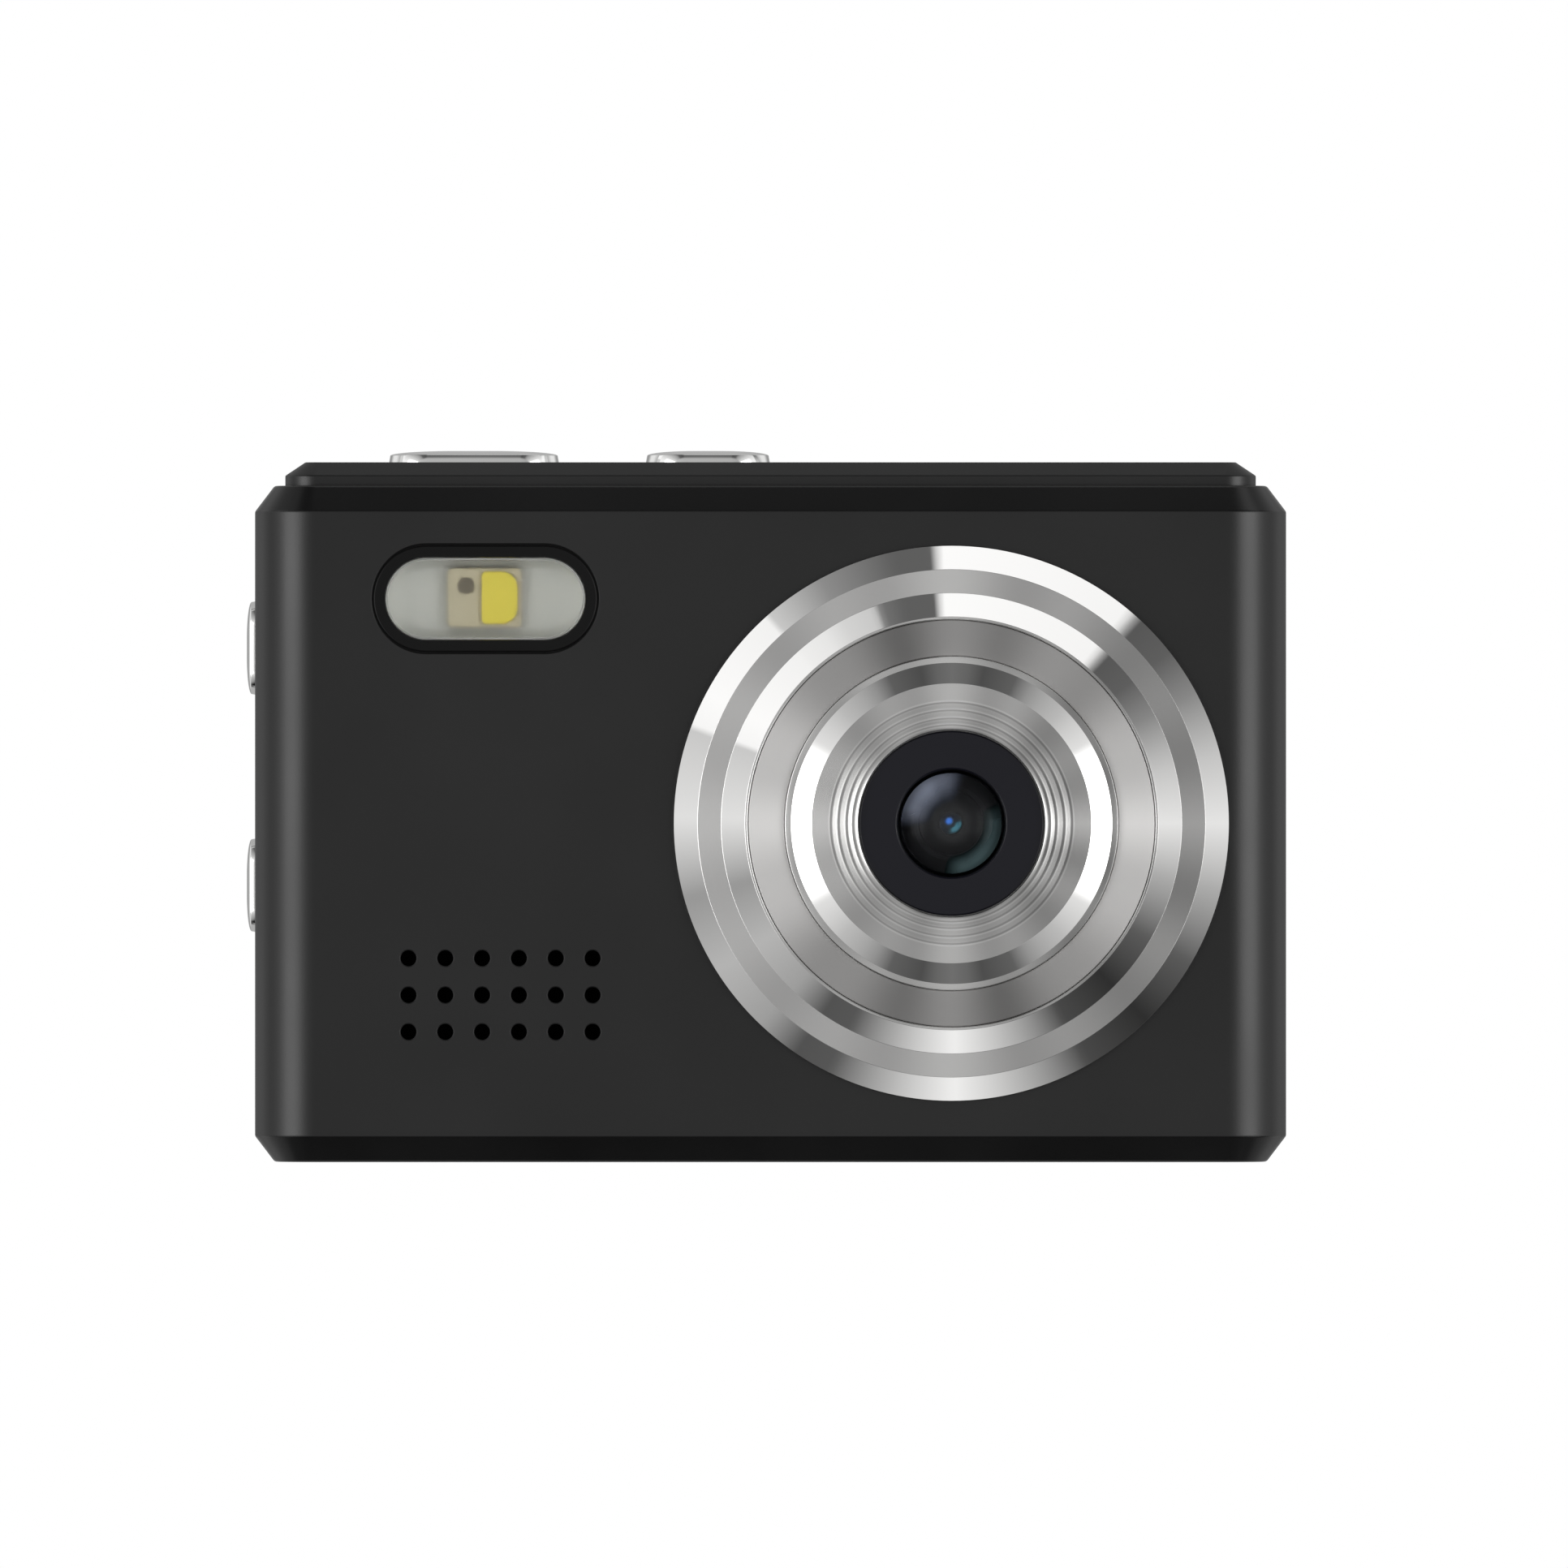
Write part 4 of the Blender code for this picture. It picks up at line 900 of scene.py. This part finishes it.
def dish_ring():
    """The inner ring: a lip, a polished bevel and a brushed floor with grooves in it."""
    grooves = []
    for radius in GROOVES:
        height = dish_height(radius)
        grooves += [(radius + 0.13, height), (radius, height - GROOVE_DEPTH), (radius - 0.13, height)]
    profile = [
        (15.8, 2.3), (15.8, 3.3), (14.84, 3.3), (14.84, 5.04), (14.79, 5.09), (14.28, 5.14),
        DISH_OUTER, *grooves, DISH_INNER, (8.35, 1.85), (6.9, 1.85), (6.9, 0.2), (13.0, 0.2),
    ]
    finishes = "chrome", "dish"
    ring = lens_part("ring_dish", profile, "lens_dish_ring", "spun_aluminium", *finishes, edge=0.05)
    finish_between(ring, 8.0, 12.4)
    finish_between(ring, 14.22, 14.86)


def cover_plate():
    """The black plate round the front glass."""
    profile = [(8.2, 1.95), (8.2, 2.8), (8.1, 2.9), (4.95, 2.9), (4.82, 2.75), (4.82, 1.95)]
    lens_part("plate_lens", profile, "lens_cover_plate", "gloss_black", "plate")


def cap_profile(radius, edge, sagitta, steps=10):
    """A spherical cap's outline, from its rim at height `edge` to its middle."""
    sphere = (radius * radius + sagitta * sagitta) / (2 * sagitta)
    made = []
    for step in range(steps + 1):
        r = radius * (1 - step / steps)
        made.append((r, edge + math.sqrt(sphere * sphere - r * r) - (sphere - sagitta)))
    return made


def front_glass():
    """The domed front glass."""
    radius, rim, thickness = 4.48, 1.35, 0.5
    outer = cap_profile(radius, rim, 1.2)
    inner = [(r * 0.97, height - thickness) for r, height in cap_profile(radius, rim, 1.15)]
    lens_part(
        "glass_front", [*reversed(inner), *outer], "lens_front_element", "coated_glass", "glass",
        edge=0.02, steps=96, closed=False,
    )


def barrel():
    """The dark tube behind the glass, the stop in it, and the bead in the stop with its painted reflections.
    """
    tube = [
        (4.78, 1.5), (5.95, 1.5), (5.95, -7.8), (1.1, -7.8), (1.1, -3.2), (2.98, -3.2), (2.98, -0.75),
        (3.33, -0.7), (4.62, 0.35),
    ]
    lens_part("tube_lens", tube, "lens_barrel", "matt_black", "tube", edge=0.05, steps=96)
    stop = [(2.9, -2.2), (2.9, -1.25), (2.8, -1.15), (2.62, -1.25), (1.15, -1.7), (1.05, -1.8), (1.05, -2.2)]
    lens_part("stop_plate", stop, "lens_inner_element", "matt_black", "stop", edge=0.03, steps=96)
    bead = forward([(0.0, -2.9), (1.0, -2.9), *cap_profile(1.0, -1.95, 0.14, 8)])
    made = lathe("bead_lens", bead, "Y", flat(LENS, "Y"), "bead", steps=48)
    use(made, "case", None)


# ---- flash


def flash_outline(grow):
    """The inside outline of the flash's rim, grown on all sides."""
    bezel = size("flash_bezel")
    return pill(bezel.x - 2 * FLASH_RIM, bezel.z - 2 * FLASH_RIM, flat(FLASH, "Y"), grow)


def flash_loft(name, start, steps, *finishes):
    """A solid through the flash's outline, from steps of (depth behind start, growth)."""
    return loft(name, [(start + depth, flash_outline(grow)) for depth, grow in steps], "Y", *finishes)


def flash_bezel():
    """The black rim, with a bevel round its front."""
    front, bevel = -0.05, 0.15
    steps = [(0.65, FLASH_RIM)]
    for angle in quarter_turn():
        inward = bevel * (1 - math.cos(angle))
        steps.append((front + bevel * (1 - math.sin(angle)), FLASH_RIM - inward))
    bezel = flash_loft("bezel_flash", FRONT_Y, steps, "flash_black")
    carve(bezel, flash_loft("well", FRONT_Y, ((-1.0, 0.3), (0.0, 0.12), (1.5, -0.05))))
    use(even_normals(bezel), "case", "flash_bezel")


def flash_window():
    start, end = FRONT_Y + 0.45, FRONT_Y + 1.3
    pane = prism("pane_flash", flash_outline(-0.12), "Y", start, end, "pane", edge=0.12)
    use(pane, "case", "flash_window")


def flash_bowl():
    """The white reflector."""
    low, high = span("flash_reflector")
    bowl = prism("bowl_flash", flash_outline(0.8), "Y", low.y, high.y, "white")
    carve(bowl, flash_loft("hollow", low.y, ((-1, -0.2), (1.2, -0.3), (2.3, -0.9))))
    use(even_normals(bowl), "case", "flash_reflector")


def flash_light():
    """The LED package, its phosphor with rounder corners on the right, and its small die."""
    low, high = span("flash_led")
    square = rounded_outline(*flat(high - low, "Y"), 0.5, flat(middle("flash_led"), "Y"), 4)
    package = prism("package_led", square, "Y", low.y, high.y, "led", edge=0.2)
    use(package, "case", "flash_led")
    spot, extent = middle("flash_phosphor"), size("flash_phosphor")
    centre = (spot.x - 0.15, spot.z)
    wide, narrow = (rounded_outline(extent.x + 0.3, extent.z, radius, centre, 10) for radius in (1.45, 0.45))
    outline = [right if right[0] > centre[0] else left for right, left in zip(wide, narrow)]
    start, end = span("flash_phosphor")[0].y, low.y - 0.01
    gel = prism("phosphor_led", outline, "Y", start, end, "phosphor", edge=0.12)
    use(gel, "case", "flash_phosphor")
    die = circle(0.72, (spot.x - 3.15, spot.z + 1.05), 24)
    dot = prism("die_led", die, "Y", low.y - 0.15, end, "dot", edge=0.05)
    use(dot, "case", None)


# ---- chrome buttons


def button_cap(name, node, axis, tip, root):
    """A chrome cap with steep sides and a crowned top, and its flange behind the wall."""
    way = 1 if tip > root else -1
    side, crown, flange, lean = 0.68, 0.42, 0.9, 0.12
    centre = flat(middle(node), axis)
    caps = [extent - BUTTON_FLANGE for extent in flat(size(node), axis)]
    shares = [0.36 if cap == max(caps) else 0.4 for cap in caps]

    def section(distance, *shrinks):
        return distance, pill(*(cap - 2 * shrink for cap, shrink in zip(caps, shrinks)), centre)

    wider = (-BUTTON_FLANGE / 2,) * 2
    shoulder = tip - way * crown
    sections = [
        section(root, *wider), section(root + way * flange, *wider),
        section(root + way * (flange + 0.02), 0, 0), section(shoulder - way * side, 0, 0),
    ]
    for angle in quarter_turn(12):
        inward = 1 - math.cos(angle)
        shrinks = [lean + 0.05 * math.sin(angle) + share * cap * inward for share, cap in zip(shares, caps)]
        sections.append(section(shoulder + way * crown * math.sin(angle), *shrinks))
    cap = loft(name, sections, axis, "button")
    use(cap, node, node)


def buttons():
    for name, node in (("cap_shutter", "shutter_button"), ("cap_power", "power_button")):
        button_cap(name, node, "Z", span(node)[1].z, TOP[1] - 2.2)
    for name, node in (("cap_side_upper", "side_button_upper"), ("cap_side_lower", "side_button_lower")):
        low, high = span(node)
        button_cap(name, node, "X", low.x, high.x)


# ---- rear keys and screen


def ink(name, outline, at, thick=0.03):
    return prism(name, outline, "Y", at, at + thick, "ink")


def mark(name, outline, body, at, thick=0.03):
    """A thin printed mark on the face of a key."""
    use(ink(name, outline, at, thick), body, None)


def triangle(centre, radius, turn):
    angles = [math.radians(turn + 120 * corner) for corner in range(3)]
    return [(centre[0] + radius * math.cos(a), centre[1] + radius * math.sin(a)) for a in angles]


def spun_key(name, node, rounded, finish, steps):
    """A key or ring of the back, turned about the middle of its frame node."""
    made = lathe(name, rounded, "Y", flat(middle(node), "Y"), finish, steps=steps)
    use(made, node, node)


def menu_bars(node, centre, at):
    for line in range(3):
        spot = (centre[0], centre[1] + 0.62 * (line - 1))
        mark(f"mark_menu_{line}", rounded_outline(1.9, 0.26, 0.1, spot, 2), node, at)


def play_triangle(node, centre, at):
    mark("mark_play", triangle(centre, 0.95, 180), node, at)


def mode_ring(node, centre, at):
    ring = ink("mark_mode", circle(0.95, centre, 32), at)
    carve(ring, prism("inner", circle(0.66, centre, 32), "Y", at - 1, at + 1))
    use(ring, node, None)


def delete_cross(node, centre, at):
    """Two crossed bars, one of them a hair higher."""
    bar = rounded_outline(2.1, 0.28, 0.1, steps=2)
    for turn, raised in ((45, 0.005), (-45, 0.0)):
        spun = Matrix.Rotation(math.radians(turn), 2)
        outline = [tuple(spun @ Vector(point) + Vector(centre)) for point in bar]
        mark(f"mark_delete_{turn + 45}", outline, node, at + raised)


def rear_keys():
    """The four round keys of the back, with their marks."""
    flange, skirt, sunk = 0.6, 1.4, 0.015
    marks = {"menu": menu_bars, "play": play_triangle, "mode": mode_ring, "delete": delete_cross}
    for key, add_marks in marks.items():
        node = key + "_key"
        low, high = span(node)
        radius = (high.x - low.x) / 2
        profile = [
            (0.0, low.y), (1.2, low.y), (1.2, low.y + flange), (radius, low.y + flange),
            (radius, low.y + skirt), (radius - 0.8, low.y + skirt), (radius - 0.8, high.y - 0.05),
            (0.0, high.y),
        ]
        spun_key("key_" + key, node, fillet(profile, 0.28, 5), "gloss", ROUND_STEPS)
        add_marks(node, flat(middle(node), "Y"), high.y - sunk)


def direction_keys():
    """The direction ring with its four triangles, and the centre key."""
    low, high = span("nav_ring")
    profile = [
        (5.7, low.y), (10.4, low.y), (10.4, low.y + 0.6), (9.5, low.y + 0.6), (9.5, high.y - 0.3),
        (9.15, high.y), (7.2, high.y - 0.05), (4.75, high.y - 0.2), (4.4, high.y - 0.5),
        (4.4, low.y + 1.7), (5.7, low.y + 1.7),
    ]
    spun_key("ring_nav", "nav_ring", fillet(profile, 0.22, 4, True), "gloss", 128)
    spot = middle("nav_ring")
    for index in range(4):
        way = math.radians(90 * index)
        centre = (spot.x + 7.4 * math.cos(way), spot.z + 7.4 * math.sin(way))
        mark(f"mark_nav_{index}", triangle(centre, 0.85, 90 * index), "nav_ring", high.y - 0.13, 0.12)
    low, high = span("ok_key")
    profile = [
        (0.0, low.y), (2.0, low.y), (2.0, low.y + 0.6), (5.0, low.y + 0.6), (5.0, low.y + 1.4),
        (4.05, low.y + 1.4), (4.05, high.y - 0.1), (3.6, high.y), (1.5, high.y - 0.12), (0.0, high.y - 0.15),
    ]
    spun_key("key_ok", "ok_key", fillet(profile, 0.22, 4), "button", 96)


def screen():
    low, high = span("lcd_window")
    outline = rounded_outline(*flat(high - low, "Y"), 1.5, flat(middle("lcd_window"), "Y"), 10)
    glass = prism("glass_screen", outline, "Y", low.y, high.y, "screen", edge=0.15)
    use(glass, "case", "lcd_window")


def status_lamp():
    low, high = span("status_light")
    tip = high.y - 1.7
    profile = [(0.0, low.y), (1.5, low.y), (1.5, tip), (0.9, tip), (0.9, high.y - 0.1), (0.0, high.y)]
    centre = flat(middle("status_light"), "Y")
    lamp = lathe("lamp_status", fillet(profile, 0.1), "Y", centre, "pane", steps=32)
    use(lamp, "case", "status_light")


# ---- base and sides


def door():
    """The battery door, with its hinge knuckle, snap tab and nail notch."""
    low, high = span("battery_door")
    hinge = flat(middle("door_hinge_pin"), "Y")
    plate = block("door_battery", (hinge[0], low.y, low.z), (high.x, high.y, 1.5), "case", edge=0.15)
    knuckle = prism("knuckle", circle(1.5, hinge, 48), "Y", low.y + 0.02, high.y - 0.02)
    tab = block("tab", (high.x - 2.2, low.y + 2.0, 1.1), (high.x - 1.5, high.y - 2.0, high.z))
    carve(plate, knuckle, tab, operation="UNION")
    bore = prism("bore", circle(0.59, hinge, 32), "Y", low.y - 2, high.y + 2)
    y, half = (low.y + high.y) / 2, 2.4
    notch = block("notch", (high.x - 1.6, y - half, -1.0), (high.x - 0.7, y + half, low.z + 0.5), edge=0.1)
    carve(plate, bore, notch)
    use(even_normals(plate), "battery_door", "battery_door")


def bush():
    """The tripod bush with its thread of 20 turns to the inch."""
    low, high = span("tripod_bush")
    pitch, major, minor = 1.27, 3.175, 2.75
    flange = (high.x - low.x) / 2
    body = flange - 1.0
    bore = [(major + 0.3, 0.02), (major, 0.4)]
    z = 0.5
    while z + pitch < high.z:
        bore += [
            (major, z), (minor, z + 0.45 * pitch), (minor, z + 0.55 * pitch), (major, z + pitch - 0.05),
        ]
        z += pitch
    bore.append((major, high.z))
    outside = [(body, high.z), (body, 3.0), (flange, 3.0), (flange, 1.7), (body, 1.7), (body, 0.02)]
    profile = fillet(bore + outside, 0.06, 2, True)
    made = lathe("bush_tripod", profile, "Z", flat(middle("tripod_bush"), "Z"), "brass", steps=96)
    use(made, "case", "tripod_bush")


def screw(name, node, wall):
    """A countersunk screw with a cross recess."""
    axis, outside, way = wall
    centre = flat(middle(node), axis)
    steps = ((0.0, 0.1), (1.5, 0.1), (1.5, 0.25), (0.85, 1.05), (0.85, 5.0), (0.0, 5.5))
    profile = fillet([(radius, outside + way * depth) for radius, depth in steps], 0.08)
    made = lathe(name, profile, axis, centre, "steel", steps=48)
    low, high = sorted((outside - way, outside + 0.65 * way))
    for long, wide in ((1.9, 0.42), (0.42, 1.9)):
        carve(made, prism("arm", rounded_outline(long, wide, 0.08, centre, 2), axis, low, high))
    use(even_normals(made), "case", node)


def screws():
    screw("screw_base_1", "case_screw_1", BASE)
    screw("screw_base_2", "case_screw_2", BASE)
    screw("screw_side_3", "case_screw_3", LEFT)
    screw("screw_side_4", "case_screw_4", RIGHT)


def strap_bar():
    low, high = span("strap_bar")
    outline = circle(0.6, flat(middle("strap_bar"), "Z"), 32)
    bar = prism("bar_strap", outline, "Z", low.z, high.z, "steel", edge=0.1)
    use(bar, "case", "strap_bar")


def usb_socket():
    """The socket's metal shell and the tongue in it."""
    low, high = span("usb_port")
    width, height = flat(high - low, "X")
    y, z = flat(middle("usb_port"), "X")
    wall = 0.3
    shell = prism("shell_usb", pill(width, height, (y, z)), "X", low.x, high.x, "steel")
    mouth = pill_mouth(width - 2 * wall, height - 2 * wall, (y, z))
    carve(shell, flared("mouth", mouth, ("X", high.x, -1), high.x - low.x - 1, 0.1))
    use(even_normals(shell), "case", "usb_port")
    corners = (low.x + 0.6, y - 0.35, z - 3.3), (high.x - 0.6, y + 0.35, z + 3.3)
    use(block("tongue_usb", *corners, "matt", edge=0.1), "case", None)


def inner_parts():
    """The frame nodes that show as they are, with their finishes. The memory card's edges are rounded."""
    by_finish = {
        "matt": ("inner_frame", "lens_holder", "image_sensor", "speaker_cone"),
        "dark": ("speaker_mesh",),
        "board": ("main_board", "key_board", "flash_board"),
        "steel": (
            "speaker_frame", "shutter_switch", "power_switch", "side_switch_upper", "side_switch_lower",
            "lcd_panel", "card_socket", "microphone", "door_hinge_pin",
        ),
        "silicone": ("key_dome_sheet", "nav_pad"),
        "wrap": ("battery",),
        "brass": ("battery_contacts",),
        "flex": ("lcd_flex",),
        "card": ("memory_card",),
        "glass": ("ir_filter",),
    }
    for finish, nodes in by_finish.items():
        for node in nodes:
            materials = NODES[node].data.materials
            materials.clear()
            materials.append(FINISH[finish])
    soften(NODES["memory_card"], 0.06)


# ---- stage


def camera():
    """A long lens straight in front of the camera, level with its middle."""
    distance, view_width = 3.0, 0.13965
    x, z = 1.2, 33.7
    data = bpy.data.cameras.new("view")
    data.sensor_width = 36.0
    data.lens = data.sensor_width * distance / view_width
    data.clip_end = 20
    made = bpy.data.objects.new("view", data)
    made.location = (x * MM, FRONT_Y * MM - distance, z * MM)
    made.rotation_euler = (math.radians(90), 0, 0)
    bpy.context.scene.collection.objects.link(made)
    bpy.context.scene.camera = made


# The studio round the camera, as the light that comes from each direction. SIDE_PANELS
# gives (turn, light) square to the front, where the bevels of the lens rings look. The turn is about
# the lens's way of looking, in degrees, anticlockwise from +X.
SIDE_PANELS = [
    (0, 0.84), (14, 0.60), (28, 0.26), (38, 0.12), (47, 0.10), (50, 0.98), (92, 1.05), (94, 0.12),
    (102, 0.12), (118, 0.28), (131, 0.62), (132, 0.95), (152, 1.05), (159, 1.0), (160, 0.62), (179, 0.80),
    (196, 0.33), (212, 0.49), (227, 0.36), (236, 0.09), (244, 0.10), (256, 0.45), (271, 0.93), (284, 0.52),
    (300, 0.07), (315, 0.03), (330, 0.11), (346, 0.44), (360, 0.84),
]
# FRONT_PANELS gives (share of the way sideways, light) between the front and the sides.
FRONT_PANELS = [
    (0.0, 0.17), (0.10, 0.14), (0.2, 0.08), (0.40, 0.12), (0.5, 0.30), (0.58, 0.40), (0.70, 0.52),
    (0.86, 0.80), (1.0, 1.1),
]
# UPPER_PANEL is a small panel a little in front of the side ones, where only the second bevel looks.
UPPER_PANEL = [(108, 0.0), (110, 0.42), (124, 0.42), (131, 0.3), (132, 0.0)]
# The light of a bright strip at the left and the right, and of what is straight in front.
STRIP_LIGHT = 5.0
HEAD_ON = 0.47
# BACK_PANELS gives (share of the way from the back to the sides, light) at the left and the right.
# BEHIND is the light from above, below and straight behind.
BACK_PANELS = [(0.0, 0.45), (0.08, 0.33), (0.20, 0.33), (0.42, 0.85), (0.65, 0.85), (0.92, 0.45)]
BEHIND = 0.45


def round_panels(graph, share, panels):
    """The light of panels given as (turn in degrees, light)."""
    return graph.ramp(share, [(angle / 360, light) for angle, light in panels])


def studio_light(graph):
    """The light from each direction."""
    x, y, z = graph.split(graph.add("TexCoord").outputs["Generated"])
    toward = graph.times(y, -1.0)
    reach = graph.math("SQRT", graph.math("ADD", graph.times(x, x), graph.times(z, z)))
    sideways = graph.math("DIVIDE", graph.math("ABSOLUTE", x), graph.math("MAXIMUM", reach, 1e-4))
    share = graph.turn(x, z)

    around = round_panels(graph, share, SIDE_PANELS)
    second = graph.times(graph.smooth(toward, 0.04, 0.07), graph.smooth(toward, 0.15, 0.11))
    upper = graph.vector("MULTIPLY", round_panels(graph, share, UPPER_PANEL), second)
    around = graph.vector("ADD", around, upper)

    under = graph.times(graph.smooth(z, -0.75, -0.9), graph.smooth(toward, 0.5, 0.35))
    front = graph.mix(under, graph.ramp(sideways, FRONT_PANELS), (0.01, 0.01, 0.01))
    light = graph.mix(graph.smooth(toward, 0.12, 0.16), around, front)
    head = graph.times(x, -0.45 * HEAD_ON, HEAD_ON)
    light = graph.mix(graph.smooth(toward, 0.82, 0.90), light, head)

    back = graph.ramp(graph.math("ADD", toward, 1.0, clamp=True), BACK_PANELS)
    back = graph.mix(graph.smooth(sideways, 0.6, 0.85), (BEHIND,) * 3, back)
    light = graph.mix(graph.smooth(toward, -0.035, -0.1), light, back)

    near, far = graph.smooth(toward, 0.915, 0.82), graph.smooth(toward, 0.40, 0.52)
    strip = graph.times(graph.smooth(sideways, 0.85, 1.0), graph.times(near, far))
    return graph.mix(strip, light, (STRIP_LIGHT,) * 3)


def world():
    """A white studio. The view shows it plain white, and the object reflects its panels."""
    made = bpy.data.worlds.new("studio")
    bpy.context.scene.world = made
    made.use_nodes = True
    graph = Graph(made.node_tree)
    graph.nodes.clear()
    studio, plain = graph.add("Background"), graph.add("Background")
    graph.feed(studio, "Color", studio_light(graph))
    graph.feed(plain, "Color", (1.0, 1.0, 1.0, 1.0))
    chosen = graph.choose(graph.add("LightPath").outputs["Is Camera Ray"], studio, plain)
    graph.links.new(chosen.outputs[0], graph.add("OutputWorld").inputs[0])


def floor():
    """A plain white floor that only the view shows, low enough for the battery door to swing open.

    From below it can be seen through.
    """
    mesh = bmesh.new()
    bmesh.ops.create_grid(mesh, x_segments=1, y_segments=1, size=6000)
    finish = bpy.data.materials.new("floor_white")
    finish.use_nodes = True
    graph = Graph(finish.node_tree)
    graph.nodes.clear()
    below = graph.add("NewGeometry").outputs["Backfacing"]
    chosen = graph.choose(below, graph.add("Emission"), graph.add("BsdfTransparent"))
    graph.links.new(chosen.outputs[0], graph.add("OutputMaterial").inputs[0])
    made = solid("floor", mesh)
    made.data.materials.append(finish)
    made.location.z = -40 * MM
    for kind in ("diffuse", "glossy", "transmission", "volume_scatter", "shadow"):
        setattr(made, "visible_" + kind, False)


bpy.context.scene.view_settings.view_transform = "Standard"
camera()
world()
floor()
front_case()
rear_case()
top_plate()
outer_ring()
face_ring()
dish_ring()
cover_plate()
front_glass()
barrel()
flash_bezel()
flash_window()
flash_bowl()
flash_light()
buttons()
rear_keys()
direction_keys()
screen()
status_lamp()
door()
bush()
screws()
strap_bar()
usb_socket()
inner_parts()
